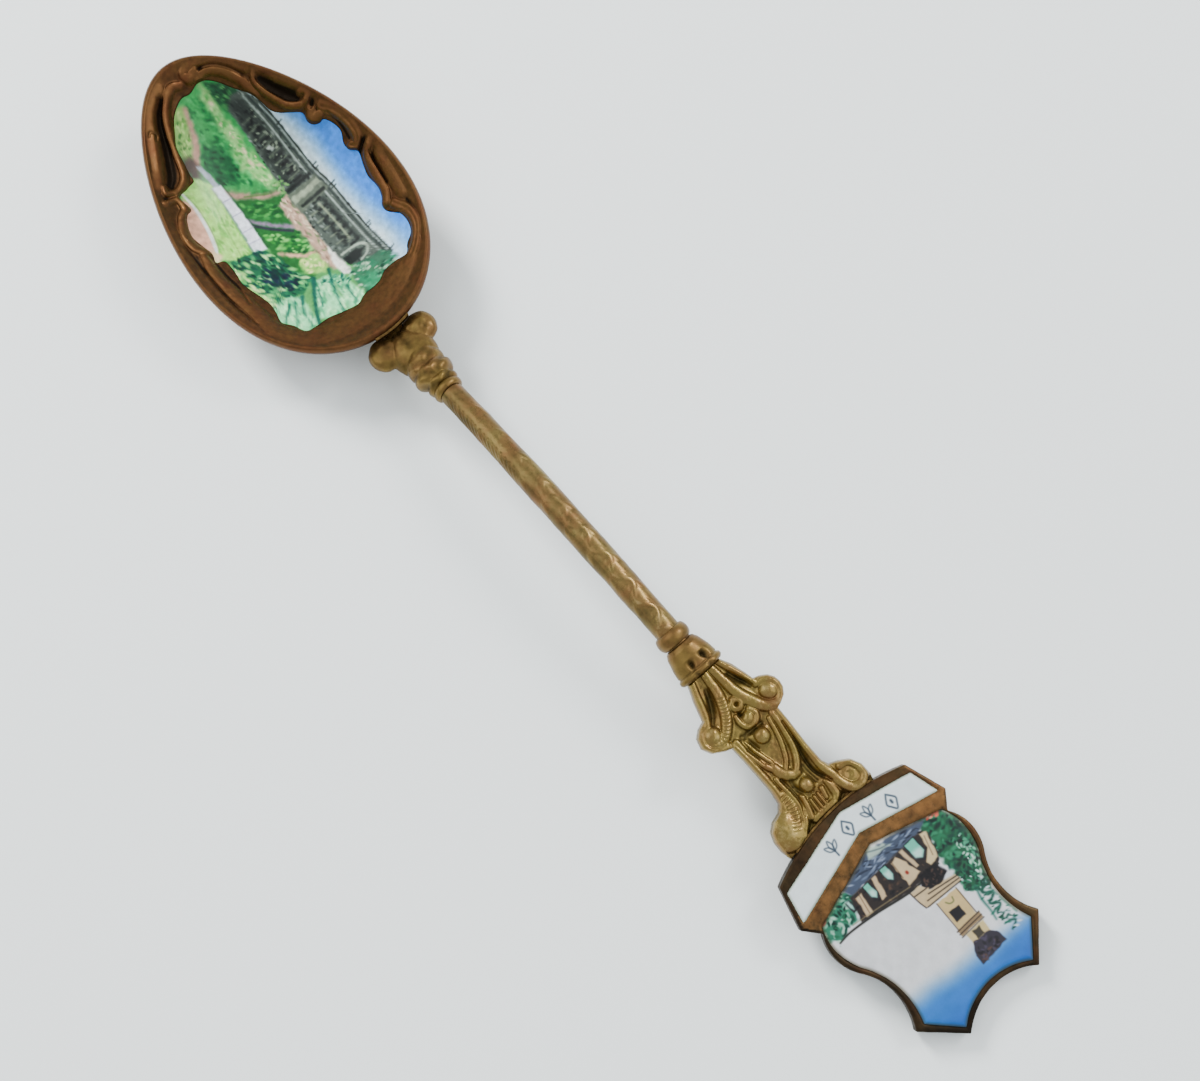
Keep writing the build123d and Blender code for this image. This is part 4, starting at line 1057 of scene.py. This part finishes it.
PANEL_RIDGES = [
    (0, (4.9, 1.6, 0.3, 0.35), (6.2, 2.05, 0.32, 0.42), (7.4, 2.5, 0.32, 0.42), (8.9, 2.95, 0.35, 0.4)),
    (0, (5.0, 0.7, 0.4, 0.4), (6.4, 0.85, 0.45, 0.5), (8.2, 1.05, 0.5, 0.55), (9.7, 1.55, 0.55, 0.6),
     (11.0, 2.3, 0.55, 0.65),
     (11.5, 3.4, 0.5, 0.65), (11.0, 4.2, 0.48, 0.62), (10.1, 4.5, 0.45, 0.6), (9.2, 4.0, 0.42, 0.55),
     (9.05, 3.3, 0.36, 0.45)),
    (0, (10.05, 3.4, 0.78, 0.78), (10.25, 3.5, 0.78, 0.78)),
    (0, (4.9, -1.55, 0.32, 0.38), (6.5, -2.1, 0.34, 0.45), (8.0, -2.6, 0.36, 0.42), (8.9, -3.2, 0.4, 0.5),
     (9.1, -4.1, 0.45, 0.55),
     (10.1, -4.55, 0.45, 0.6), (11.1, -4.0, 0.45, 0.6), (11.45, -3.0, 0.45, 0.55)),
    (0, (5.1, -0.1, 0.4, 0.4), (7.3, -0.35, 0.48, 0.55), (9.2, -1.1, 0.5, 0.62), (10.4, -2.1, 0.48, 0.66),
     (10.85, -3.0, 0.42, 0.66),
     (10.4, -3.9, 0.36, 0.6), (9.6, -3.9, 0.3, 0.5)),
    (0, (9.85, -3.35, 0.8, 0.78), (10.05, -3.4, 0.8, 0.78)),
    (0.0, (8.75, 0.3, 0.45, 0.5), (9.1, 0.7, 0.4, 0.5), (9.5, 0.3, 0.4, 0.5), (9.1, -0.1, 0.4, 0.5),
     (8.75, 0.3, 0.4, 0.5)),
    (0.0, (10.2, 0.9, 0.28, 0.4), (11.0, 1.15, 0.28, 0.5), (11.6, 0.5, 0.28, 0.5), (11.4, -0.3, 0.28, 0.5),
     (10.7, -0.6, 0.28, 0.45),
     (10.0, -0.5, 0.25, 0.35)),
    (0, (10.75, 0.35, 0.55, 0.6), (10.85, 0.25, 0.55, 0.6)),
    (0, (12.8, 0.2, 0.68, 0.78), (12.95, 0.2, 0.68, 0.78)),
    (0, (20.8, 3.9, 0.8, 0.42), (21.1, 4.0, 0.8, 0.42)),
    (0, (11.9, 2.3, 0.3, 0.42), (13.5, 2.15, 0.32, 0.5), (15.6, 1.7, 0.34, 0.55), (17.0, 0.9, 0.34, 0.55),
     (17.6, 0.2, 0.3, 0.5)),
    (0, (12.1, 1.75, 0.22, 0.3), (14.2, 1.25, 0.25, 0.36), (15.9, 0.5, 0.25, 0.36), (16.6, -0.1, 0.22, 0.32)),
    (0, (11.8, -2.05, 0.3, 0.36), (13.3, -1.95, 0.3, 0.4), (15.2, -1.45, 0.3, 0.42), (16.2, -1.0, 0.28, 0.4)),
    (0, (12.3, -1.3, 0.2, 0.24), (14.0, -1.15, 0.22, 0.28), (15.4, -0.8, 0.2, 0.26)),
    (0, (15.9, -0.95, 0.42, 0.42), (16.7, -0.8, 0.5, 0.55), (17.4, -0.2, 0.5, 0.55), (17.6, 0.4, 0.4, 0.45)),
    (0, (11.6, 2.85, 0.34, 0.4), (14.0, 2.75, 0.36, 0.46), (16.5, 2.6, 0.38, 0.5), (18.6, 2.55, 0.42, 0.52),
     (19.8, 2.75, 0.45, 0.56),
     (20.9, 2.9, 0.48, 0.62), (22.0, 3.4, 0.5, 0.66), (22.3, 4.3, 0.46, 0.66), (21.8, 5.05, 0.44, 0.62),
     (20.8, 5.1, 0.44, 0.62),
     (19.95, 4.6, 0.42, 0.6), (19.8, 3.8, 0.38, 0.5)),
    (0, (11.8, -2.5, 0.34, 0.38), (14.0, -2.35, 0.36, 0.46), (16.4, -2.25, 0.36, 0.48),
     (18.4, -2.35, 0.34, 0.46), (19.4, -2.8, 0.32, 0.4)),
    (0, (16.8, -1.55, 0.26, 0.32), (18.8, -1.45, 0.28, 0.4), (20.4, -1.55, 0.3, 0.46),
     (21.6, -2.1, 0.32, 0.5), (22.4, -3.0, 0.34, 0.5)),
    (0, (18.2, -2.15, 0.42, 0.42), (19.4, -2.1, 0.5, 0.55), (20.6, -2.5, 0.5, 0.6), (21.4, -3.1, 0.45, 0.6)),
    (0, (20.8, -3.95, 1.55, 0.85), (21.3, -4.05, 1.55, 0.85)),
    (0, (19.0, 0.3, 0.62, 0.75), (19.1, 0.3, 0.62, 0.75)),
    (0, (20.2, 1.15, 0.28, 0.5), (21.1, 0.95, 0.24, 0.45)),
    (0, (20.0, 2.0, 0.35, 0.36), (21.4, 1.9, 0.4, 0.36), (22.0, 1.5, 0.35, 0.3)),
    (0, (19.6, -0.8, 0.3, 0.3), (20.6, -1.0, 0.3, 0.4), (21.6, -1.3, 0.3, 0.4)),
    (0, (20.3, 0.55, 0.16, 0.4), (21.5, 0.5, 0.16, 0.4)), (0, (20.3, 0.1, 0.16, 0.4),
                                                           (21.6, 0.05, 0.16, 0.4)),
    (0, (20.3, -0.35, 0.16, 0.4), (21.6, -0.45, 0.16, 0.38)),
    (0, (21.9, 1.2, 0.3, 0.34), (21.9, -0.2, 0.32, 0.34), (22.0, -1.2, 0.3, 0.3)),
]
PANEL_GROOVES = [
    ((6.6, 1.7, 0.25, 0.3), (7.4, 1.95, 0.28, 0.4), (8.1, 2.3, 0.28, 0.4), (8.7, 2.5, 0.2, 0.3)),
    ((6.4, -1.0, 0.25, 0.25), (7.3, -1.35, 0.28, 0.4), (8.4, -1.95, 0.28, 0.35), (9.2, -2.6, 0.2, 0.25)),
    ((9.12, 0.3, 0.2, 0.45), (9.14, 0.3, 0.2, 0.45)), ((10.1, -0.1, 0.2, 0.4), (10.2, 0.0, 0.18, 0.35)),
    ((11.9, -0.9, 0.25, 0.3), (12.0, 0.9, 0.25, 0.3)), ((11.8, -1.3, 0.25, 0.3), (13.6, -0.9, 0.22, 0.25)),
    ((13.2, 2.45, 0.12, 0.2), (15.4, 2.15, 0.16, 0.3), (17.0, 1.8, 0.18, 0.4), (18.6, 1.7, 0.18, 0.42),
     (20.2, 2.3, 0.15, 0.3)),
    ((17.6, 1.2, 0.25, 0.25), (18.4, 1.2, 0.25, 0.3), (19.4, 1.3, 0.2, 0.25)),
    ((17.9, -0.6, 0.25, 0.25), (18.6, -0.7, 0.25, 0.3), (19.3, -0.5, 0.2, 0.25)),
    ((20.85, 4.0, 0.3, 0.14), (20.95, 4.0, 0.3, 0.14)), ((22.0, 2.4, 0.25, 0.35), (22.3, 1.7, 0.25, 0.35)),
    ((22.1, -1.7, 0.25, 0.3), (22.5, -2.3, 0.25, 0.3)), ((13.0, -1.7, 0.14, 0.2), (15.0, -1.35, 0.12, 0.15)),
    ((17.2, -1.2, 0.16, 0.25), (19.6, -1.1, 0.16, 0.28), (21.0, -1.7, 0.14, 0.25)),
]


def notches(at, route, spacing, reach, depth):
    """Fine cuts across a band, spaced along its route."""
    line = smooth_line([(*p, 0, 0) for p in route], 8)
    cut = np.zeros(len(at))
    near = np.full(len(at), 1e9)
    length = 0.0
    for start, end in zip(line[:-1], line[1:]):
        step = end[:2] - start[:2]
        size = math.hypot(*step)
        t = np.clip((at - start[:2]) @ step / max(step @ step, 1e-12), 0, 1)
        gap = np.hypot(*(at - start[:2] - t[:, None] * step).T)
        closer = gap < near
        wave = 0.5 - 0.5 * np.cos(2 * math.pi * (length + t * size) / spacing)
        cut = np.where(closer, depth * wave * np.clip(1.3 - gap / reach, 0, 1), cut)
        near = np.minimum(near, gap)
        length += size
    return cut


def scroll_panel(brass):
    """The cast panel: volutes at both ends, a lyre-shaped frame, bosses and a small fan."""
    top, side, under = 150, 8, 14
    around = top + 2 * side + under
    bm, across, along = sheet(around, 330)
    step = np.rint(across * around).astype(int)
    s = 4.3 + along * 18.35
    upper, lower = np.interp(s, *PANEL_UPPER.T), np.interp(s, *PANEL_LOWER.T)
    on_top = step <= top
    share = np.clip(step / top, 0, 1)
    y = -lower + (upper + lower) * share
    turn = np.clip((step - top) / side, 0, 1)
    back = np.clip((step - top - side) / under, 0, 1)
    turn_low = np.clip((step - top - side - under) / side, 0, 1)
    on_back = (step >= top + side) & (step <= top + side + under)
    y = np.where(step > top, upper, y)
    y = np.where(on_back, upper - (upper + lower) * back, y)
    y = np.where(step > top + side + under, -lower, y)
    x = s + along**8 * 0.02 * y * y
    at = np.c_[x, y]
    high = np.zeros(len(x))
    surface = relief(at[on_top], [(r[0], *[(a, b, 1.16 * w, h) for a, b, w,
                                           h in r[1:]]) for r in PANEL_RIDGES], PANEL_GROOVES)
    place = at[on_top]
    surface -= notches(place, [(7.6, -0.5), (9.2, -1.1), (10.4, -2.1), (10.85, -3.0), (10.4, -3.9)], 0.34,
                       0.34, 0.12)
    surface -= notches(place, [(18.2, -2.15), (19.4, -2.1), (20.6, -2.5), (21.6, -3.2)], 0.36, 0.42, 0.14)
    surface += 0.05 * (grain(place, 0.7, 120) - 0.5) + 0.03 * (grain(place, 0.25, 121) - 0.5)
    high[on_top] = surface
    rim = np.clip(np.minimum(upper - y, y + lower) / 0.42, 0, 1)
    round_off = np.sqrt(np.clip(1 - (1 - rim) ** 2, 0, 1))
    level = -0.1 + 0.36 * round_off + 0.9 * high * (0.3 + 0.7 * round_off)
    height = level
    height = np.where((step > top) & (step < top + side), -0.1 - 0.75 * turn, height)
    height = np.where(on_back, -0.86, height)
    height = np.where(step > top + side + under, -0.86 + 0.76 * turn_low, height)
    rim_in = np.where(on_back, 0.14 * (np.abs(2 * back - 1) ** 8), 0)
    height = height + rim_in
    taper = np.clip((s - 4.3) / 0.7, 0, 1)
    height = np.where(on_top, height * taper - 0.2 * (1 - taper), height)
    marks = np.where(on_top, np.minimum(0.42 + 0.36 * high, 0.66), 0.38)
    marks = np.where(on_top, marks - 0.45 * np.clip(0.02 - high, 0, 1), marks)
    points = in_row(UPPER, np.c_[x, y, height])
    made = shape(bm, "scroll_panel_brass", points, brass, ["scroll_panel"], marks)
    return made


# ---------------------------------------------------------------- stem, collar, calyx and ring


def tube(name, frame_at, length, around, along, radii, brass, nodes, relief_of, ends=0.08):
    """A closed round piece: radii gives half-width and half-height for each place along it."""
    bm, across, up = sheet(around, along)
    angle = across * 2 * math.pi
    start = np.clip(up / ends, 0, 1)
    finish = np.clip((1 - up) / ends, 0, 1)
    s = length * np.clip((up - ends) / (1 - 2 * ends), 0, 1)
    wide, tall = radii(s)
    cap = np.minimum(start, finish)
    lift, marks = relief_of(s, angle)
    wide, tall = wide + lift, tall + lift
    y, z = np.sin(angle) * wide * cap, np.cos(angle) * tall * cap
    points = frame_at(s, y, z)
    return shape(bm, name, points, brass, nodes, marks)


def straight(matrix, first):
    return lambda s, y, z: in_row(matrix, np.c_[first + s, y, z])


STEM_ARC = 31.30
STEM_BEND = LOWER_SLOPE + UPPER_SLOPE


def along_stem(s, y, z):
    """Places on the bent stem: s runs from the ring to the collar."""
    turn = STEM_BEND / STEM_ARC
    inside = np.clip(s, 0, STEM_ARC)
    heading = LOWER_SLOPE - turn * inside
    run = (np.sin(LOWER_SLOPE) - np.sin(heading)) / turn
    climb = (np.cos(heading) - np.cos(LOWER_SLOPE)) / turn
    extra = s - inside
    px = STEM_LOW[0] + run + extra * np.cos(heading) - z * np.sin(heading)
    pz = STEM_LOW[1] + climb + extra * np.sin(heading) + z * np.cos(heading)
    return in_row(ROW, np.c_[px, y, pz])


def stem(brass):
    """The bent stem, with a vine cast along it, deepest near the collar, where its ridges carry painted
    highlights.
    """
    vine = [(0.5, 0.2)] + [(1.5 + k * 1.6, (0.55 if k % 2 else -0.55)) for k in range(19)]
    ridges = [(0, *[(a, b, 0.24, 0.025 + 0.05 * max(a / 15 - 1, 0)) for a, b in vine])]
    for k in range(19):
        a, side = 1.5 + k * 1.6, (0.55 if k % 2 else -0.55)
        ridges.append((0, (a, side, 0.2, 0.03), (a + 0.7, side * 2.0, 0.34, 0.05),
                       (a + 1.4, side * 2.5, 0.14, 0.02)))
        ridges.append((0, (a, side, 0.16, 0.02), (a + 0.5, -side * 0.3, 0.24, 0.035),
                       (a + 1.0, -side * 0.9, 0.12, 0.02)))

    def radii(s):
        width = 1.22 + 0.12 * np.clip(s / 12, 0, 1) - 0.06 * np.clip((s - 22) / 9, 0, 1)
        return width, width

    def surface(s, angle):
        turned = np.where(angle > math.pi, angle - 2 * math.pi, angle)
        at = np.c_[s, turned * 1.3]
        lift = relief(at, ridges, [])
        lift -= 0.06 * np.clip(np.sin((s + turned * 1.6) * 2 * math.pi / 0.62), 0, 1) * np.clip((s - 0.5) / 1,
            0, 1) * np.clip((12 - s) / 3, 0, 1) * (
            (turned < -0.45) & (turned > -2.3))
        lift += 0.035 * (grain(at, 0.7, 130) - 0.5) + 0.05 * (grain(at, 2.2, 131) - 0.5)
        # Lighter on the raised vine, with painted highlights as bright spots on its ridges from 14 mm onwards
        # towards the collar, and a little darker on the −y side.
        marks = 0.46 + 1.2 * lift + 4.0 * np.clip(lift - 0.035, 0, 1) * np.clip((s - 14) / 6, 0,
            1) - 0.1 * (turned < -0.6) + 0.25 * (grain(at, 1.6, 132) - 0.5)
        return lift, marks

    return tube("stem_brass_rod", along_stem, STEM_ARC + 1.6, 90, 640, radii, brass, ["stem"],
                surface, 0.01)


def ring_surface(seed):
    def surface(s, angle):
        at = np.c_[s * 2, angle]
        return 0.02 * (grain(at, 0.8, seed) - 0.5), 0.5 + 0.25 * (grain(at, 0.7, seed + 1) - 0.5)
    return surface


def stem_ring(brass):
    bead = lambda s: (1.24 + 0.31 * np.sqrt(np.clip(1 - ((s - 0.425) / 0.43) ** 2, 0, 1)),) * 2
    return tube("stem_ring_brass", straight(LOWER, -0.85), 0.85, 90, 26, bead, brass,
                ["stem_ring"], ring_surface(140))


def collar(brass):
    bead = lambda s: (1.24 + 0.5 * np.clip(1 - ((s - 0.78) / 0.8) ** 2, 0, 1) ** 0.5,) * 2
    return tube("collar_brass_bead", straight(UPPER, -0.2), 1.56, 100, 40, bead, brass,
                ["collar"], ring_surface(150))


def calyx(brass):
    """The flattened ferrule: two teardrop eyes on its top, and a lip of three scallops over the panel."""
    def radii(s):
        wide = np.interp(s, [0, 0.15, 0.6, 1.7, 2.75, 2.95, 3.2, 3.45],
                         [1.35, 1.6, 1.85, 2.15, 2.28, 2.44, 2.46, 2.25])
        tall = np.interp(s, [0, 0.15, 0.6, 1.7, 2.75, 2.95, 3.2, 3.45],
                         [1.3, 1.45, 1.58, 1.68, 1.7, 1.8, 1.8, 1.5])
        return wide, tall

    def surface(s, angle):
        turned = np.where(angle > math.pi, angle - 2 * math.pi, angle)
        y = np.sin(turned) * 2.2
        on_top = np.abs(turned) < 1.5
        lift = 0.03 * (grain(np.c_[s, y], 0.7, 160) - 0.5)
        for middle in (-0.62, 1.05):
            along_eye = (s - 2.2) / 0.62
            width = 0.30 - 0.12 * along_eye
            eye = (np.exp(-(((y - middle - 0.12 * along_eye * np.sign(middle)) / width) ** 2))
                   * np.clip(1.25 * (1 - np.abs(along_eye)), 0, 1))
            lift = lift - 0.5 * eye * on_top
        lip = np.clip((s - 2.6) / 0.3, 0, 1)
        lift = lift - 0.25 * lip * np.clip(1 - np.abs(np.abs(y - 0.1) - 0.75) / 0.35, 0,
                                           1) * on_top * np.clip((s - 2.9) / 0.3, 0, 1)
        groove = np.exp(-(((s - 2.72) / 0.1) ** 2))
        lift = lift - 0.08 * groove
        marks = 0.5 + 1.1 * np.minimum(lift, 0) + 0.2 * (grain(np.c_[s, y], 0.9, 161) - 0.5)
        return lift, marks

    return tube("calyx_brass_ferrule", straight(UPPER, 1.4), 3.45, 150, 90, radii, brass,
                ["calyx"], surface, 0.05)


# ---------------------------------------------------------------- heel


def heel(brass):
    """The cast heel: two round lobes, a knop cut with chevrons, and a drop under the bowl."""
    parts = []

    def ball(x, y, z, sx, sy, sz):
        bm = bmesh.new()
        bmesh.ops.create_uvsphere(bm, u_segments=40, v_segments=24, radius=1.0)
        place = shift(x, y, z) @ Matrix.Diagonal((sx, sy, sz, 1))
        bmesh.ops.transform(bm, matrix=place, verts=bm.verts)
        parts.append(bm)

    ball(-7.35, 2.05, 0.1, 1.72, 1.72, 1.15)
    ball(-7.45, -2.15, 0.1, 1.75, 1.7, 1.15)
    ball(-5.7, 0.0, 0.0, 2.7, 2.35, 1.5)
    ball(-3.9, 0.0, 0.0, 2.3, 2.0, 1.75)
    ball(-2.6, 0.0, 0.0, 1.35, 2.12, 1.95)
    ball(-1.35, 0.0, 0.0, 0.9, 1.7, 1.65)
    low = LOWER.inverted() @ ROW
    for x, z, long, wide, tall in ((36.2, 3.6, 1.8, 1.6, 1.3), (34.6, 2.9, 1.9, 1.45, 1.2),
                                   (33.0, 2.0, 1.9, 1.2, 0.85), (31.4, 1.35, 1.7, 0.85, 0.6)):
        place = low @ Vector((x, 0, z))
        ball(place.x, 0.0, place.z, long, wide, tall)
    mesh = remeshed(parts, 0.1)
    p, normal = skin_points(mesh)
    x, y, z = p.T
    facing = np.clip(normal[:, 2] * 1.6 + 0.2, 0, 1)
    lift = 0.13 * (grain(p[:, :2], 0.85, 170) - 0.5) + 0.06 * (grain(p[:, :2], 0.4, 171) - 0.5)
    chevron = np.sin((x + 0.75 * np.abs(y)) * 2 * math.pi / 1.5)
    band = np.clip((x + 4.6) / 0.8, 0, 1) * np.clip((-0.5 - x) / 0.4, 0, 1)
    lift += 0.075 * chevron * band * facing
    for side in (1, -1):
        away = np.hypot(x + 7.4, y - side * 2.1)
        lift -= 0.035 * np.exp(-(((away - 0.85) / 0.3) ** 2)) * facing * (np.abs(y) > 0.4)
    lift -= 0.12 * np.exp(-((y / 0.3) ** 2)) * np.clip((-5.6 - x) / 0.8, 0, 1) * facing
    p = p + normal * lift[:, None]
    marks = 0.44 + 1.7 * lift + 0.25 * (grain(p[:, :2], 0.8, 172) - 0.5)
    return skin_piece("heel_brass_casting", mesh, in_row(LOWER, p), brass, ["heel_fitting"],
                      marks)


# ---------------------------------------------------------------- stage


def stage():
    """A plain pale floor and soft light from above and in front."""
    bm = bmesh.new()
    bmesh.ops.create_grid(bm, x_segments=1, y_segments=1, size=1.5)
    mesh = bpy.data.meshes.new("floor")
    bm.to_mesh(mesh)
    bm.free()
    floor = bpy.data.objects.new("floor", mesh)
    bpy.context.scene.collection.objects.link(floor)
    material, tree = new_material("matt_pale_grey_table")
    finish_shader(tree, Base_Color=shade("#edf2f1"), Roughness=0.8)
    mesh.materials.append(material)

    world = bpy.data.worlds.new("soft_room")
    bpy.context.scene.world = world
    world.use_nodes = True
    world.node_tree.nodes["Background"].inputs["Color"].default_value = shade("#e8eef2")
    world.node_tree.nodes["Background"].inputs["Strength"].default_value = 1.05

    def softbox(name, place, size, power):
        light = bpy.data.lights.new(name, "AREA")
        light.shape = "RECTANGLE"
        light.size, light.size_y = size
        light.energy = power
        made = bpy.data.objects.new(name, light)
        made.location = place
        made.rotation_euler = (-Vector(place)).to_track_quat("-Z", "Y").to_euler()
        bpy.context.scene.collection.objects.link(made)
        return made

    # The light that throws the shadow stays out of reflections, so it lays no haze over the bowl's picture.
    overhead = softbox("overhead_window", (-0.5, 0.0, 0.3), (0.16, 0.16), 5.5)
    overhead.visible_glossy = False
    softbox("broad_window", (-0.3, -0.25, 0.5), (0.5, 0.5), 1.2)
    softbox("side_window", (0.0, 0.5, 0.42), (0.16, 0.16), 1.5)
    softbox("room_fill", (0.25, 0.4, 0.5), (0.6, 0.6), 1.6)


def camera():
    """The camera looks down steeply from just above the picture's lower edge."""
    scale = 120 / 117
    lift, turn = 1.39332832, 0.845843806
    distance = 180 * scale
    off = (-0.992200414 * scale, -1.43788884 * scale)

    def to_row(g):
        x, y, z = g[0] - off[0], g[1] - off[1], g[2]
        return Vector((
            math.cos(turn) * x - math.sin(turn) * y + 2.9203,
            math.sin(turn) * x + math.cos(turn) * y,
            z,
        )) / 1000

    eye = to_row((0, -distance * math.cos(lift), distance * math.sin(lift)))
    right = to_row((1, 0, 0)) - to_row((0, 0, 0))
    ahead = to_row((0, 0, 0)) - eye
    right.normalize()
    back = -ahead.normalized()
    up = back.cross(right)
    made = bpy.data.cameras.new("camera")
    made.sensor_width = 36
    made.sensor_fit = "HORIZONTAL"
    made.lens = 36 * 1897.02302 / 1200
    made.clip_start = 0.01
    cam = bpy.data.objects.new("camera", made)
    cam.matrix_world = Matrix((
        (right.x, up.x, back.x, eye.x), (right.y, up.y, back.y, eye.y), (right.z, up.z, back.z, eye.z),
        (0, 0, 0, 1)
    ))
    bpy.context.scene.collection.objects.link(cam)
    bpy.context.scene.camera = cam


def braze(name):
    """Brazing metal that has dulled to a yellow-brown film."""
    material, tree = new_material(name)
    at = node(tree, "ShaderNodeTexCoord").outputs["Object"]
    mottle = node(tree, "ShaderNodeTexNoise", None, Vector=at, Scale=1500.0, Detail=4.0, Roughness=0.6)
    colour = ramp(tree, mottle.outputs["Fac"], (0.35, "#4c3a22"), (0.65, "#7d6238"))
    bump = node(tree, "ShaderNodeBump", None, Strength=0.3, Distance=0.00004, Height=mottle.outputs["Fac"])
    finish_shader(tree, Base_Color=colour, Metallic=1.0, Roughness=0.45, Normal=bump.outputs[0])
    return material


stage()
camera()

BRAZE = braze("dulled_braze")
for name in ("bowl_solder", "shield_solder"):
    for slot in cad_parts[name].material_slots:
        slot.material = BRAZE
    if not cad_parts[name].material_slots:
        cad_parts[name].data.materials.append(BRAZE)

BOWL_BRASS = aged_brass("bowl_aged_brass", "#b4864f", "#6d4b29", "#6a4126", "#21180e", (0.3, 0.5))
HANDLE_BRASS = aged_brass("handle_aged_brass", "#bb9f60", "#765f30", "#6c4c2c", "#33280f", (0.28, 0.46),
                          red_share=0.38)
STEM_BRASS = aged_brass("stem_aged_brass", "#c9ae76", "#7d6a3c", "#7a5734", "#3a321a", (0.22, 0.42),
                        red_share=0.5)
PANEL_BRASS = aged_brass("panel_cast_brass", "#cdb57a", "#84703a", "#7f5c36", "#3d3316", (0.18, 0.36),
                         red_share=0.4)
SHIELD_BRASS = aged_brass("shield_polished_brass", "#93673a", "#443520", "#523620", "#1d160d", (0.26, 0.46),
                          red_share=0.4)
PICTURE_ENAMEL = fired_enamel("bowl_painted_enamel")
WHITE_ENAMEL = fired_enamel("white_painted_enamel", 0.08)
TOWER_ENAMEL = fired_enamel("shield_painted_enamel", 0.12)

bowl(BOWL_BRASS)
bowl_enamel(PICTURE_ENAMEL)
heel(HANDLE_BRASS)
stem_ring(HANDLE_BRASS)
stem(STEM_BRASS)
collar(HANDLE_BRASS)
calyx(HANDLE_BRASS)
scroll_panel(PANEL_BRASS)
shield_plate(SHIELD_BRASS)
ribbon_enamel(WHITE_ENAMEL)
shield_enamel(TOWER_ENAMEL)
